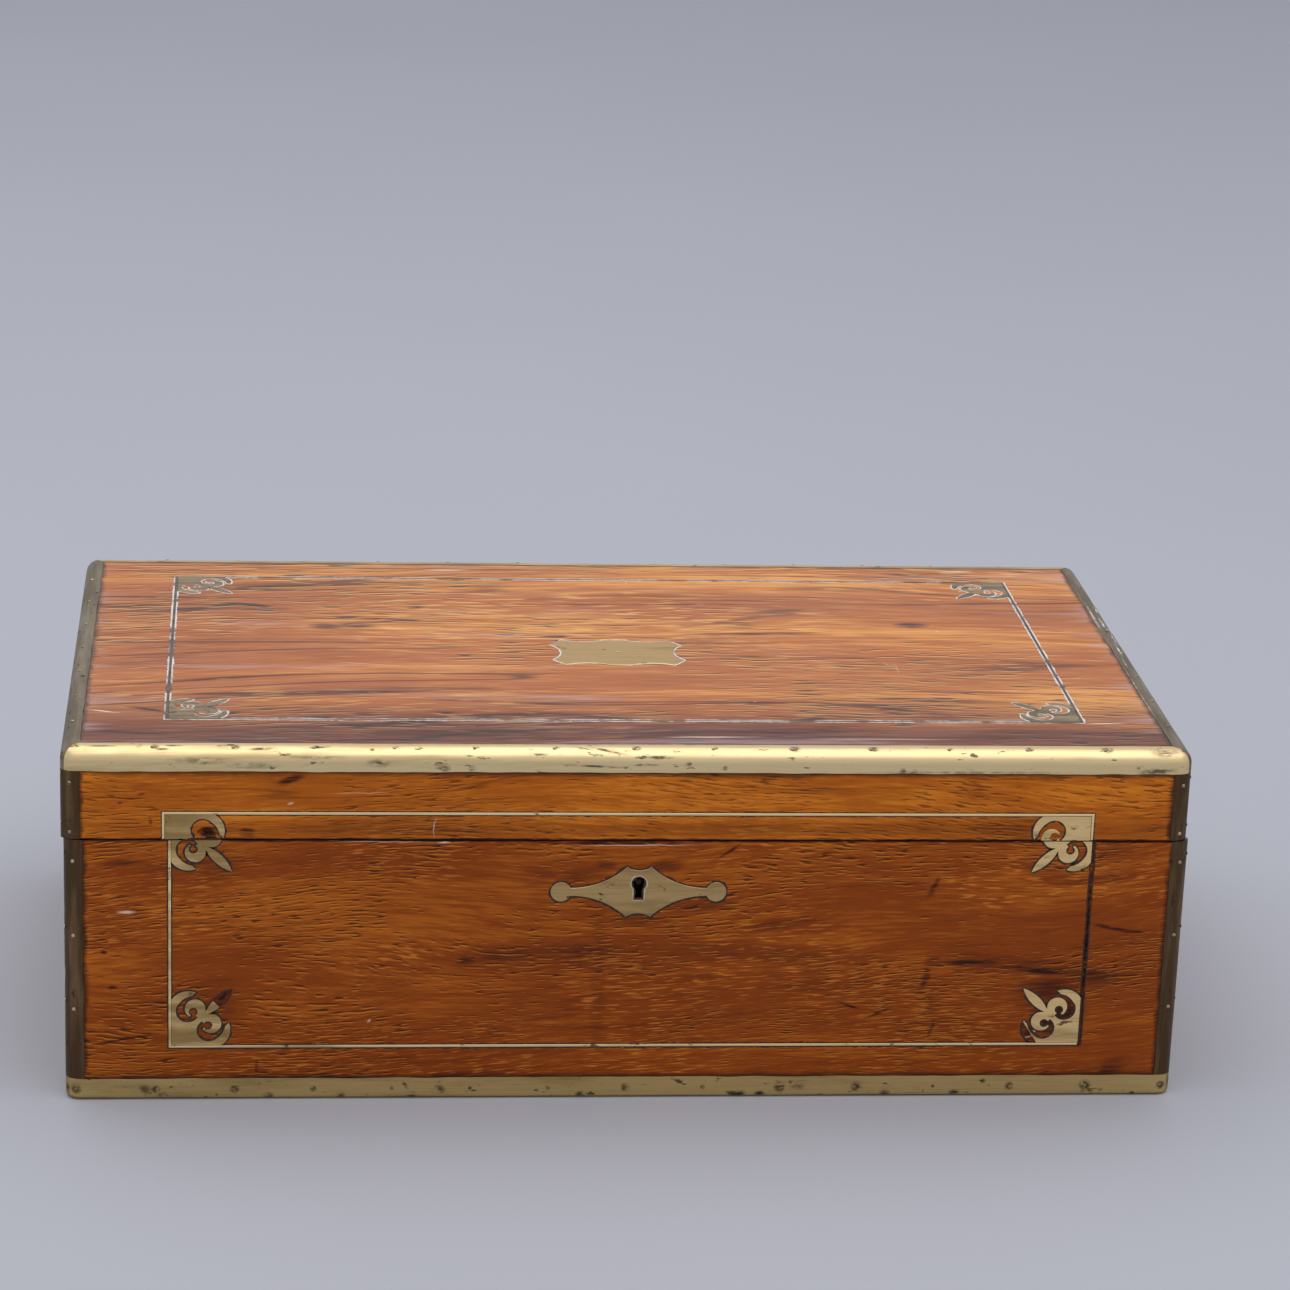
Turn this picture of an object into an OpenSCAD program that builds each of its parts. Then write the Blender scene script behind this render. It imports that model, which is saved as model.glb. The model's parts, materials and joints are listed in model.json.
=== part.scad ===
// Brass-bound folding writing box, closed, in millimetres.
// Origin at the centre of the bottom, +X to the right, front face towards -Y, +Z up.

/* [Case] */
// Width of the case over the brass
case_w = 500; // [470:1:530]
// Depth of the case, front to back
case_d = 286; // [272:1:310]
// Height of the closed case
case_h = 166; // [158:1:176]
// Height of the seam between base and lid at the front
seam_front = 124; // [118:0.5:128]
// Clear space between the rims of base and lid
seam_gap = 0.5; // [0.3:0.1:0.8]
// How far the lid sits out of line with the base
lid_shift = -1.2; // [-1.6:0.1:1.6]
// Radius of the case's edges
edge_r = 6.5; // [5:0.5:8]
// Rounding of the bottom edges
foot_r = 2.5; // [2:0.1:5]

/* [Boards] */
// Thickness of the four walls
wall_t = 12; // [11:0.5:13]
// Thickness of the bottom board
bottom_t = 8; // [6:0.5:8]
// Thickness of the lid's top board
top_t = 9; // [7:0.5:10]

/* [Brass binding] */
// Width of the binding on each face
bind_w = 8.5; // [8:0.25:10]
// Height of the bottom strips on the walls
bind_foot_h = 10.3; // [10:0.1:12]
// Height of the lid's binding on the walls
bind_top_h = 10.3; // [10:0.1:12]
// Thickness of the binding
bind_t = 1.5; // [1:0.1:2]
// How far the binding stands proud of the wood
bind_proud = 0.2; // [0.1:0.05:0.4]
// Radius of the binding pins
bpin_r = 0.9; // [0.7:0.1:1.2]
// Length of the binding pins
bpin_len = 8; // [6:0.5:9]
// Depth of the pins' heads below the case's outer faces
bpin_in = 0.3; // [0.2:0.05:0.4]
// Spacing of the pins along the binding
bpin_pitch = 35; // [28:1:45]

/* [Inlay] */
// Width of the brass stringing
string_w = 1.4; // [1:0.1:2]
// Thickness of the inlaid brass
inlay_t = 1.2; // [1:0.1:1.5]
// How far the inlaid brass stands above the wood
inlay_proud = 0.15; // [0.1:0.05:0.2]
// Scale of the corner ornaments
ornament_k = 1; // [0.9:0.02:1.1]
// Distance from the ends of the case to the base's front frame
base_frame_in = 44.5; // [42:0.5:60]
// Sideways offset of the base's front frame
base_frame_off = 1.1; // [-2:0.1:2]
// Height of the front frame's lower line
frame_low = 25; // [18:0.5:32]
// Height of the front frame's upper line
frame_high = 137; // [134:0.5:145]
// Distance from the ends of the lid to the lid's front frame
lid_frame_in = 43.7; // [42:0.1:60]
// Sideways offset of the lid's front frame
lid_frame_off = 0.4; // [-2:0.1:2]
// Distance from the ends of the lid to the top frame
top_frame_in = 43.5; // [30:0.5:60]
// Sideways offset of the top frame
top_frame_off = 1.1; // [-2:0.1:2]
// Distance from the front to the top frame
top_frame_front = 40; // [25:0.5:50]
// Distance from the back to the top frame
top_frame_back = 32; // [25:0.5:50]
// Length of the cartouche on the lid
plate_l = 62; // [50:1:76]
// Depth of the cartouche on the lid
plate_d = 37; // [30:0.5:44]
// Cartouche centre to the right of the case's centre
plate_x = 2.5; // [-5:0.5:5]
// Cartouche centre behind the case's centre
plate_y = -5; // [-12:0.5:12]
// Radius of the cartouche's pin
plate_pin_r = 0.8; // [0.6:0.1:1]
// Width of the escutcheon, over its two discs
escutcheon_w = 78.5; // [70:0.5:86]
// Height of the escutcheon
escutcheon_h = 24.2; // [20:0.2:27]
// Radius of the escutcheon's discs
escutcheon_disc_r = 4.7; // [4:0.1:5.5]
// Height of the escutcheon's centre
escutcheon_z = 99.5; // [97:0.5:101]
// Radius of the keyhole's round head
key_r = 3.4; // [3:0.1:3.6]
// Width of the keyhole's slot
key_slot = 4.6; // [4.2:0.1:5]

/* [Lock] */
// Lock centre to the right of the case's centre
lock_x = 2.8; // [-5:0.1:5]
// Length of the lock's plates
lock_l = 70; // [68:1:84]
// Height of the lock's back plate under the rim, at the lock's centre
lock_h = 34; // [32:0.5:40]
// Depth of the lock case into the front board
lock_d = 9; // [9:0.1:9.4]
// Travel of the lock bolt
bolt_travel = 4.5; // [3.5:0.1:4.5]
// Section of the bolt's fingers
finger = 2; // [1.6:0.1:2.2]
// Thickness of the two staples
staple_t = 2; // [1.6:0.1:2.2]
// Width of the two staples
staple_w = 4.8; // [4.6:0.1:5]
// Reach of the staples below the seam
staple_reach = 9.6; // [9.4:0.1:10]
// Distance of each staple from the lock's centre
staple_x = 16; // [15:0.5:16]

/* [Main hinges] */
// Length of a hinge
hinge_l = 64; // [50:1:76]
// Distance of each hinge from the centre
hinge_x = 150; // [110:1:180]
// Radius of the knuckles
knuckle_r = 3; // [2.6:0.1:3.2]
// Radius of the hinge pins
hinge_pin_r = 1.25; // [1:0.05:1.5]
// Width of a leaf from the pin's centre
leaf_w = 11.2; // [10:0.2:11.6]
// Thickness of a leaf
leaf_t = 1.6; // [1.2:0.1:2]
// Distance of the pins behind the back face
hinge_off = 0.8; // [0.6:0.1:1.2]

/* [Writing flaps] */
// Thickness of the flaps
flap_t = 7; // [6:0.5:8]
// Depth of the flaps' faces below the rims
flap_drop = 0.65; // [0.6:0.05:1]
// Gap round the flaps
flap_gap = 0.6; // [0.5:0.1:1]
// Width of the rail that carries a flap's hinges, from the pins of the main hinges
rail_reach = 27; // [25:0.5:30]
// Thickness of the leather
leather_t = 1; // [0.6:0.1:1.4]
// Wooden border round the leather
leather_in = 15; // [11:1:24]
// Length of a flap hinge
flap_hinge_l = 36; // [28:1:46]
// Distance of each flap hinge from the centre
flap_hinge_x = 165; // [120:1:200]
// Radius of the flap hinges' knuckles
flap_knuckle_r = 1.9; // [1.7:0.1:2.1]
// Radius of the flap hinges' pins
flap_pin_r = 0.8; // [0.7:0.05:0.9]
// Section of the ledges under the flaps
ledge = 8; // [6:0.5:10]

/* [Compartments] */
// Inside width of an ink compartment
ink_w = 47; // [45:0.5:52]
// Thickness of the partitions
partition_t = 5; // [4:0.5:6]
// Thickness of the divider in front of the papers
divider_t = 10; // [9:0.5:12]
// Height of the divider's lower edge
divider_z = 60; // [50:1:62]
// Height of the upper floor's top
floor_z = 72; // [70:0.5:72]
// Thickness of the upper floor
floor_t = 6; // [5:0.5:7]
// Height of the pen tray's underside
tray_z = 88; // [84:0.5:90]
// Height of the pen tray
tray_h = 24; // [20:0.5:25]
// Radius of the pen tray's cove
cove_r = 17; // [14:0.5:18]
// Width of an inkwell
well_w = 44; // [38:0.5:44]
// Height of an inkwell's glass below its neck
well_h = 28; // [22:0.5:28]
// Radius of an inkwell's bore
well_r = 10; // [8:0.5:11]

/* [Hidden] */

// Clearance where one fixed piece is let into another
fit = 0.1;
// Wall of the parts that must come out or turn
loose = 0.3;
eps = 0.01;
$fn = 48;

inner_x = case_w / 2 - wall_t;
inner_y = case_d / 2 - wall_t;
hinge_y = case_d / 2 + hinge_off;
hinge_z = case_h / 2;
seam_slope = (seam_front - hinge_z) / (hinge_y + case_d / 2);
seam_tilt = atan(seam_slope);
function seam_z(y) = hinge_z + (hinge_y - y) * seam_slope;
// Distance from the hinge pins, along the seam, of a point at depth y and height h over the seam
function along_seam(y, h) = (y - hinge_y - h * sin(seam_tilt)) / cos(seam_tilt);

flap_face = seam_gap / 2 + flap_drop;
ledge_face = flap_face + flap_t + loose;
flap_pin_y = rail_reach + flap_knuckle_r + 0.4;
flap_pin_z = flap_face + 1.5;
flap_leaf_t = 1.2;
flap_leaf_w = 14;
flap_edge = flap_pin_y + flap_knuckle_r + 0.4;
flap_x = inner_x - flap_gap;
divider_y = -inner_y + ink_w;
divider_rim = divider_t * 0.45;
base_flap_end = -along_seam(divider_y + divider_rim, -flap_face - flap_t) - flap_gap;
lid_flap_end = -along_seam(-inner_y, flap_face) - flap_gap;
tray_end = inner_x - ink_w - partition_t;

lock_y = -inner_y;
lock_rim = seam_z(lock_y - lock_d / 2);
lock_plate_t = 1.5;
staple_y = lock_y - lock_plate_t - fit - staple_w / 2;
staple_eye = 6;
eye = finger + 1;
finger_y = staple_y - staple_eye * sin(seam_tilt);
finger_z = seam_z(staple_y) - staple_eye * cos(seam_tilt);
key_z = escutcheon_z + 4.1;
key_drop = 7.8;

wood = [0.62, 0.33, 0.16];
inner_wood = [0.5, 0.28, 0.15];
brass = [0.72, 0.6, 0.36];
steel = [0.6, 0.6, 0.62];
glass = [0.75, 0.85, 0.85, 0.6];
leather = [0.3, 0.08, 0.07];

// Working planes
module in_seam() {
    translate([0, hinge_y, hinge_z]) rotate([-seam_tilt, 0, 0]) children();
}
module in_lid_seam() {
    in_seam() mirror([0, 0, 1]) children();
}
module below_seam(h = seam_gap / 2) {
    in_seam() translate([-case_w, -2 * case_d, -3 * case_h - h]) cube([2 * case_w, 3 * case_d, 3 * case_h]);
}
module above_seam(h = seam_gap / 2) {
    in_seam() translate([-case_w, -2 * case_d, h]) cube([2 * case_w, 3 * case_d, 3 * case_h]);
}
module on_front(depth, proud) {
    translate([0, -case_d / 2 + bind_proud + depth, 0])
        rotate([90, 0, 0]) linear_extrude(depth + proud) children();
}
module on_top(depth, proud) {
    translate([0, 0, case_h - bind_proud - depth]) linear_extrude(depth + proud) children();
}
module both_sides() {
    children();
    mirror([1, 0, 0]) children();
}
module box(x0, x1, y0, y1, z0, z1) {
    translate([x0, y0, z0]) cube([x1 - x0, y1 - y0, z1 - z0]);
}

// The rounded block that the brass binding follows
module round_rect(w, h, r) {
    square([w - 2 * r, h], center = true);
    square([w, h - 2 * r], center = true);
    for (x = [-1, 1], y = [-1, 1]) translate([x * (w / 2 - r), y * (h / 2 - r)]) circle(r);
}
module wall_profile(w, h, r, foot) {
    translate([-w / 2, foot - h / 2]) square([w, h - foot - r]);
    translate([r - w / 2, foot - h / 2]) square([w - 2 * r, h - foot]);
    translate([foot - w / 2, -h / 2]) square([w - 2 * foot, h - r]);
    for (x = [-1, 1]) {
        translate([x * (w / 2 - r), h / 2 - r]) circle(r);
        translate([x * (w / 2 - foot), foot - h / 2]) circle(foot);
    }
}
module rounded_block(inset) {
    w = case_w - 2 * inset;
    d = case_d - 2 * inset;
    h = case_h - 2 * inset;
    r = edge_r - inset;
    foot = foot_r - inset;
    translate([0, 0, case_h / 2]) intersection() {
        linear_extrude(h, center = true) round_rect(w, d, r);
        rotate([90, 0, 90]) linear_extrude(w, center = true) wall_profile(d, h, r, foot);
        rotate([90, 0, 0]) linear_extrude(d, center = true) wall_profile(w, h, r, foot);
    }
}
module wood_block() {
    x_in = case_w / 2 - bind_w - fit;
    y_in = case_d / 2 - bind_w - fit;
    x_out = case_w / 2 - bind_proud;
    y_out = case_d / 2 - bind_proud;
    low = bind_foot_h + fit;
    high = case_h - bind_top_h - fit;
    rounded_block(bind_t + fit);
    box(-x_in, x_in, -y_in, y_in, 0, case_h - bind_proud);
    box(-x_in, x_in, -y_out, y_out, low, high);
    box(-x_out, x_out, -y_in, y_in, low, high);
}

// Brass binding: mitred strips round the bottom and the top, straight strips up the corners
module binding_shell() {
    difference() {
        rounded_block(0);
        rounded_block(bind_t);
    }
}
module binding_run(half_l, half_w, z0, z1) {
    cut = bind_w;
    translate([0, 0, z0]) linear_extrude(z1 - z0) polygon([
        [-half_l + fit, -half_w - 1], [half_l - fit, -half_w - 1], [half_l - fit, -half_w],
        [half_l - cut - fit, -half_w + cut], [-half_l + cut + fit, -half_w + cut], [-half_l + fit, -half_w]
    ]);
}
module binding_strip(side, z0, z1) {
    across = side == "front" || side == "back";
    half_l = across ? case_w / 2 : case_d / 2;
    half_w = across ? case_d / 2 : case_w / 2;
    turn = side == "front" ? 0 : side == "back" ? 180 : side == "left" ? -90 : 90;
    intersection() {
        binding_shell();
        rotate([0, 0, turn]) binding_run(half_l, half_w, z0, z1);
    }
}
module corner_strips() {
    low = bind_foot_h + fit;
    high = case_h - bind_top_h - fit;
    x_in = case_w / 2 - bind_w;
    y_in = case_d / 2 - bind_w;
    intersection() {
        binding_shell();
        for (x = [-1, 1], y = [-1, 1]) {
            translate([x * (x_in + bind_w / 2), y * (y_in + bind_w / 2), (low + high) / 2])
                cube([bind_w, bind_w, high - low], center = true);
        }
    }
}

// Pins through the binding, each placed by a point on the surface and the way it is driven
function steps(lo, hi, pitch) = [for (i = [0 : floor((hi - lo) / pitch)]) lo + i * pitch];
function run(half, pitch) = let (n = floor((half - 12) / pitch)) [for (i = [-n : n]) i * pitch];
base_run_z = bind_foot_h / 2;
corner_in = bind_w / 2;
first_below = 7;
first_above = 3.5;
function base_heights(y) = steps(bind_foot_h + 6 + (seam_z(y) - first_below - bind_foot_h - 6) % bpin_pitch,
                                 seam_z(y) - first_below + eps, bpin_pitch);
function lid_heights(y) = steps(seam_z(y) + first_above, case_h - bind_top_h - 4, bpin_pitch * 0.65);
function corner_pins(heights_front, heights_back) = concat(
    [for (x = [-1, 1], z = heights_front) [x * (case_w / 2 - corner_in), -case_d / 2, z, 0, 1, 0]],
    [for (x = [-1, 1], z = heights_back) [x * (case_w / 2 - corner_in), case_d / 2, z, 0, -1, 0]],
    [for (x = [-1, 1], z = heights_front) [x * case_w / 2, -case_d / 2 + corner_in, z + 3, -x, 0, 0]],
    [for (x = [-1, 1], z = heights_back) [x * case_w / 2, case_d / 2 - corner_in, z - 3, -x, 0, 0]]
);
base_pins = concat(
    [for (x = run(case_w / 2, bpin_pitch), y = [-1, 1]) [x, y * case_d / 2, base_run_z, 0, -y, 0]],
    [for (y = run(case_d / 2, bpin_pitch), x = [-1, 1]) [x * case_w / 2, y, base_run_z, -x, 0, 0]],
    corner_pins([for (z = base_heights(-case_d / 2)) z - 3.2], base_heights(case_d / 2))
);
lid_pins = concat(
    [for (x = run(case_w / 2, bpin_pitch), y = [-1, 1]) [x, y * (case_d / 2 - corner_in), case_h, 0, 0, -1]],
    [for (y = run(case_d / 2, bpin_pitch), x = [-1, 1]) [x * (case_w / 2 - corner_in), y, case_h, 0, 0, -1]],
    corner_pins(lid_heights(-case_d / 2), [for (z = lid_heights(case_d / 2)) z + 3.2])
);
module pins(places, start, len) {
    for (p = places) {
        translate([p[0], p[1], p[2]])
            rotate([0, 0, p[3] == 0 ? 0 : p[3] > 0 ? 0 : 180])
                rotate(p[5] != 0 ? [180, 0, 0] : p[4] > 0 ? [-90, 0, 0] : p[4] < 0 ? [90, 0, 0] : [0, 90, 0])
                    translate([0, 0, start]) cylinder(r = bpin_r, h = len - start, $fn = 24);
    }
}
module base_pin_holes() {
    pins(base_pins, 0, bpin_len + fit);
}
module lid_pin_holes() {
    pins(lid_pins, 0, bpin_len + fit);
}

// Corner ornament: a plate with two horns, two scrolls and a pointed leaf, symmetrical about its diagonal
module mirrored_pair() {
    children();
    mirror([1, -1, 0]) children();
}
module ornament_plate() {
    horn_r = 8.9;
    horn_u = 18.5;
    tip_v = 12.2;
    hole_u = 17.8;
    hole_v = 8.6;
    hole_r = 5.3;
    // The horn's hollow side starts level with the bottom of the hole
    hollow_u = 16.5;
    hollow_v = 12;
    hollow_r = norm([hole_u - hollow_u, hollow_v - hole_v + hole_r]);
    difference() {
        union() {
            square(13.5);
            mirrored_pair() {
                square([horn_u, tip_v]);
                intersection() {
                    translate([horn_u, horn_r]) circle(horn_r);
                    translate([horn_u - horn_r, 0]) square([2 * horn_r, tip_v]);
                }
            }
        }
        mirrored_pair() {
            translate([hole_u, hole_v]) circle(hole_r);
            intersection() {
                translate([hollow_u, hollow_v]) circle(hollow_r, $fn = 96);
                translate([hole_u, 0]) square(20);
            }
            // The bite that points the horn
            translate([23.6, 13.6]) circle(3.3);
        }
    }
}
// A scroll's eye, open beside the neck
module ornament_scroll() {
    difference() {
        translate([18.9, 11.9]) circle(4.55);
        translate([17.5, 11]) circle(1.95);
        rotate(45) translate([11, -4.1]) square([8.6, 2.85]);
    }
}
module ornament(edge) {
    intersection() {
        scale(ornament_k) union() {
            ornament_plate();
            mirrored_pair() ornament_scroll();
            translate([13.6, 13.6]) rotate(45) square([10.4, 2.5], center = true);
            ornament_leaf();
        }
        translate([edge, edge]) square(60);
    }
}
module ornament_leaf() {
    leaf_l = 17.2;
    leaf_b = 4.2;
    r = (leaf_l * leaf_l / 4 + leaf_b * leaf_b / 4) / leaf_b;
    translate([21.9, 21.9]) rotate(45) intersection() {
        translate([0, r - leaf_b / 2]) circle(r, $fn = 96);
        translate([0, leaf_b / 2 - r]) circle(r, $fn = 96);
    }
}
// Four ornaments in the corners of a frame
module ornaments(x0, x1, y0, y1, edge) {
    translate([x0, y0]) ornament(edge);
    translate([x1, y0]) mirror([1, 0]) ornament(edge);
    translate([x0, y1]) mirror([0, 1]) ornament(edge);
    translate([x1, y1]) mirror([1, 0]) mirror([0, 1]) ornament(edge);
}
module frame_line(x0, x1, y0, y1) {
    difference() {
        translate([x0, y0]) square([x1 - x0, y1 - y0]);
        translate([x0 + string_w, y0 + string_w]) square([x1 - x0 - 2 * string_w, y1 - y0 - 2 * string_w]);
    }
}
base_frame = [base_frame_in - case_w / 2 + base_frame_off, case_w / 2 - base_frame_in + base_frame_off,
              frame_low, frame_high];
lid_frame = [lid_frame_in - case_w / 2 + lid_frame_off, case_w / 2 - lid_frame_in + lid_frame_off,
             frame_low, frame_high];
top_frame = [top_frame_in - case_w / 2 + top_frame_off, case_w / 2 - top_frame_in + top_frame_off,
             top_frame_front - case_d / 2, case_d / 2 - top_frame_back];
module frame_line_of(f) {
    frame_line(f[0], f[1], f[2], f[3]);
}
module ornaments_of(f) {
    ornaments(f[0], f[1], f[2], f[3], string_w + fit / 2);
}
// Pocket for a frame's stringing and ornaments
module frame_pocket(f) {
    frame_line_of(f);
    ornaments(f[0], f[1], f[2], f[3], string_w / 2);
}

// Cartouche: a plate with waved long sides, bitten ends and pointed corners
module cartouche_shape() {
    hx = plate_l / 2;
    hy = plate_d / 2;
    ex = hx - 5.5;
    tip = hy * 0.58;
    bite = 4.5;
    // The bites reach a little past the tips, so that these end in one sharp corner
    bite_y = tip + 0.3;
    end_r = (bite_y * bite_y + bite * bite) / (2 * bite);
    wave = 2.8;
    wave_x = ex * 0.4;
    wave_r = (wave_x * wave_x + wave * wave) / (2 * wave);
    nick_r = 9;
    difference() {
        polygon([[-ex, hy], [ex, hy], [hx, tip], [hx, -tip], [ex, -hy], [-ex, -hy], [-hx, -tip], [-hx, tip]]);
        for (x = [-1, 1]) {
            translate([x * (hx - bite + end_r), 0]) circle(end_r, $fn = 64);
            for (y = [-1, 1]) {
                translate([x * (ex - wave_x), y * (hy - wave + wave_r)]) circle(wave_r, $fn = 96);
                translate([x * (ex + 10.1), y * (tip + 10)]) circle(nick_r, $fn = 64);
            }
        }
    }
}
// Escutcheon: a long lozenge with hollow sides, two cusps above and below, and a disc at each end
module escutcheon_shape() {
    hh = escutcheon_h / 2;
    disc_x = escutcheon_w / 2 - escutcheon_disc_r;
    cusp = 5.4;
    neck = 2;
    neck_x = disc_x - escutcheon_disc_r + 0.2;
    dip = 1.8;
    dip_r = (cusp * cusp + dip * dip) / (2 * dip);
    // Circle through the cusp and the neck, flat at the neck
    run_x = neck_x - cusp;
    rise = hh - neck;
    side_r = (run_x * run_x + rise * rise) / (2 * rise);
    difference() {
        polygon([[-cusp, hh], [cusp, hh], [neck_x, neck], [disc_x, neck], [disc_x, -neck], [neck_x, -neck],
                 [cusp, -hh], [-cusp, -hh], [-neck_x, -neck], [-disc_x, -neck], [-disc_x, neck],
                 [-neck_x, neck]]);
        for (y = [-1, 1]) {
            translate([0, y * (hh - dip + dip_r)]) circle(dip_r, $fn = 64);
            for (x = [-1, 1]) translate([x * neck_x, y * (neck + side_r)]) circle(side_r, $fn = 144);
        }
    }
    for (x = [-1, 1]) translate([x * disc_x, 0]) circle(escutcheon_disc_r);
}
module keyhole_shape(grow) {
    translate([0, key_z]) circle(key_r + grow);
    translate([-key_slot / 2 - grow, key_z - key_drop]) square([key_slot + 2 * grow, key_drop]);
}
module keyhole(y0, y1, grow) {
    translate([lock_x, y1, 0]) rotate([90, 0, 0]) linear_extrude(y1 - y0) keyhole_shape(grow);
}

// Countersunk screw, its head's face at the origin and its shank along -Z
module screw(r, head_r, len) {
    head_h = head_r - r;
    rotate_extrude($fn = 32) polygon([[0, 0], [head_r, 0], [r, -head_h], [r, -len], [0, -len]]);
}

// Main butt hinges, drawn in the seam plane with the leaf below it
knuckles = 5;
knuckle_gap = 0.5;
function knuckle_step(l, n) = (l + knuckle_gap) / n;
module barrel(r, l, n, first) {
    step = knuckle_step(l, n);
    for (i = [first : 2 : n - 1]) {
        translate([-l / 2 + i * step, 0, 0]) rotate([0, 90, 0]) cylinder(r = r, h = step - knuckle_gap);
    }
}
module barrel_space(r, l, n, first) {
    step = knuckle_step(l, n);
    for (i = [first : 2 : n - 1]) {
        translate([-l / 2 + i * step - knuckle_gap, 0, 0])
            rotate([0, 90, 0]) cylinder(r = r, h = step + knuckle_gap);
    }
}
module butt_leaf(first) {
    difference() {
        union() {
            box(-hinge_l / 2, hinge_l / 2, -leaf_w, 0, -seam_gap / 2 - leaf_t, -seam_gap / 2);
            barrel(knuckle_r, hinge_l, knuckles, first);
        }
        barrel_space(knuckle_r + loose, hinge_l, knuckles, 1 - first);
        translate([-hinge_l, 0, 0]) rotate([0, 90, 0]) cylinder(r = hinge_pin_r + 0.05, h = 2 * hinge_l);
        butt_screws(fit / 2);
    }
}
butt_screw_r = 1.1;
butt_screw_head_r = 2.2;
butt_screw_l = 10;
module butt_screws(grow) {
    for (x = [-1, 0, 1]) {
        translate([x * hinge_l * 0.36, -leaf_w * 0.6, -seam_gap / 2])
            screw(butt_screw_r + grow, butt_screw_head_r + grow, butt_screw_l + grow);
    }
}
module butt_recess() {
    translate([-hinge_l / 2 - loose, 0, 0]) rotate([0, 90, 0])
        cylinder(r = knuckle_r + loose, h = hinge_l + 2 * loose);
    box(-hinge_l / 2 - fit, hinge_l / 2 + fit, -leaf_w - fit, 0, -seam_gap / 2 - leaf_t - fit, 0);
    butt_screws(fit / 2);
}
module at_hinges() {
    for (x = [-1, 1]) translate([x * hinge_x, 0, 0]) children();
}

// Base boards
module base_board(x0, x1, y0, y1) {
    intersection() {
        wood_block();
        box(x0, x1, y0, y1, bottom_t, case_h);
        below_seam();
    }
}
module base_bottom_board() {
    color(wood) difference() {
        intersection() {
            wood_block();
            box(-case_w, case_w, -case_d, case_d, -1, bottom_t - fit / 2);
        }
        base_pin_holes();
    }
}
module base_front_board() {
    color(wood) difference() {
        base_board(-case_w, case_w, -case_d, -inner_y);
        base_pin_holes();
        on_front(inlay_t - inlay_proud, 1) frame_pocket(base_frame);
        on_front(inlay_t - inlay_proud, 1) translate([lock_x, escutcheon_z]) escutcheon_shape();
        keyhole(-case_d, lock_y, 0);
        lock_recess();
    }
}
module base_back_board() {
    color(wood) difference() {
        base_board(-case_w, case_w, inner_y, case_d);
        base_pin_holes();
        in_seam() at_hinges() butt_recess();
    }
}
module base_left_board() {
    color(wood) difference() {
        base_board(-case_w, -inner_x, -inner_y + fit / 2, inner_y - fit / 2);
        base_pin_holes();
    }
}
module base_right_board() {
    color(wood) difference() {
        base_board(inner_x, case_w, -inner_y + fit / 2, inner_y - fit / 2);
        base_pin_holes();
    }
}

// Base brass
module base_binding(side) {
    color(brass) difference() {
        binding_strip(side, -1, bind_foot_h);
        base_pin_holes();
    }
}
module base_binding_front() {
    base_binding("front");
}
module base_binding_back() {
    base_binding("back");
}
module base_binding_left() {
    base_binding("left");
}
module base_binding_right() {
    base_binding("right");
}
module base_corner_strips() {
    color(brass) difference() {
        intersection() {
            corner_strips();
            below_seam();
        }
        base_pin_holes();
    }
}
module base_binding_pins() {
    color(brass) pins(base_pins, bpin_in, bpin_len);
}
module base_front_stringing() {
    color(brass) intersection() {
        on_front(inlay_t - inlay_proud, inlay_proud) frame_line_of(base_frame);
        below_seam();
    }
}
module base_corner_inlays() {
    color(brass) intersection() {
        on_front(inlay_t - inlay_proud, inlay_proud) ornaments_of(base_frame);
        below_seam();
    }
}
module escutcheon() {
    color(brass) difference() {
        on_front(inlay_t - inlay_proud, inlay_proud) translate([lock_x, escutcheon_z]) escutcheon_shape();
        keyhole(-case_d, lock_y, 0);
    }
}

// Lock, let into the front board from inside
lock_case_x = lock_l / 2 - 7;
lock_low = lock_rim - lock_h;
lock_skin = 0.8;
// How far a recess in a rim is cut past the rim
recess_over = 1;
module lock_solid(grow, over = 0) {
    intersection() {
        union() {
            box(lock_x - lock_l / 2 - grow, lock_x + lock_l / 2 + grow, lock_y - lock_plate_t - grow, lock_y,
                lock_low - grow, case_h);
            box(lock_x - lock_case_x - grow, lock_x + lock_case_x + grow, lock_y - lock_d - grow, lock_y,
                lock_low - grow, case_h);
            intersection() {
                box(lock_x - lock_l / 2 - grow, lock_x + lock_l / 2 + grow, lock_y - lock_d - grow, lock_y,
                    0, case_h);
                above_seam(-seam_gap / 2 - lock_plate_t - grow);
            }
        }
        below_seam(seam_gap / 2 - over);
    }
}
module lock_recess() {
    lock_solid(fit, recess_over);
    lock_screw_set(fit / 2);
}
module lock_case() {
    color(brass) difference() {
        union() {
            difference() {
                lock_solid(0);
                intersection() {
                    box(lock_x - lock_case_x + lock_skin, lock_x + lock_case_x - lock_skin,
                        lock_y - lock_d + lock_skin, lock_y - lock_plate_t, lock_low + lock_skin, case_h);
                    below_seam(seam_gap / 2 + lock_plate_t);
                }
            }
            for (x = [-1, 1]) translate([lock_x + x * (lock_case_x + key_r + 2) / 2, 0, 0])
                box(-(lock_case_x - key_r - 2) / 2, (lock_case_x - key_r - 2) / 2, lock_y - lock_d + eps,
                    lock_y - lock_plate_t + eps, bolt_low - 3, bolt_low - loose);
            translate([lock_x, lock_y - eps, key_z]) rotate([90, 0, 0])
                cylinder(r = 1.2, h = lock_d + lock_skin);
        }
        difference() {
            keyhole(-case_d, lock_y - lock_d + lock_skin + eps, 0);
            translate([lock_x, lock_y, key_z]) rotate([90, 0, 0]) cylinder(r = 1.2, h = 2 * lock_d);
        }
        for (x = [-1, 1]) translate([lock_x + x * staple_x, 0, 0]) staple_slot();
        lock_screw_set(fit / 2);
    }
}
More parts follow.
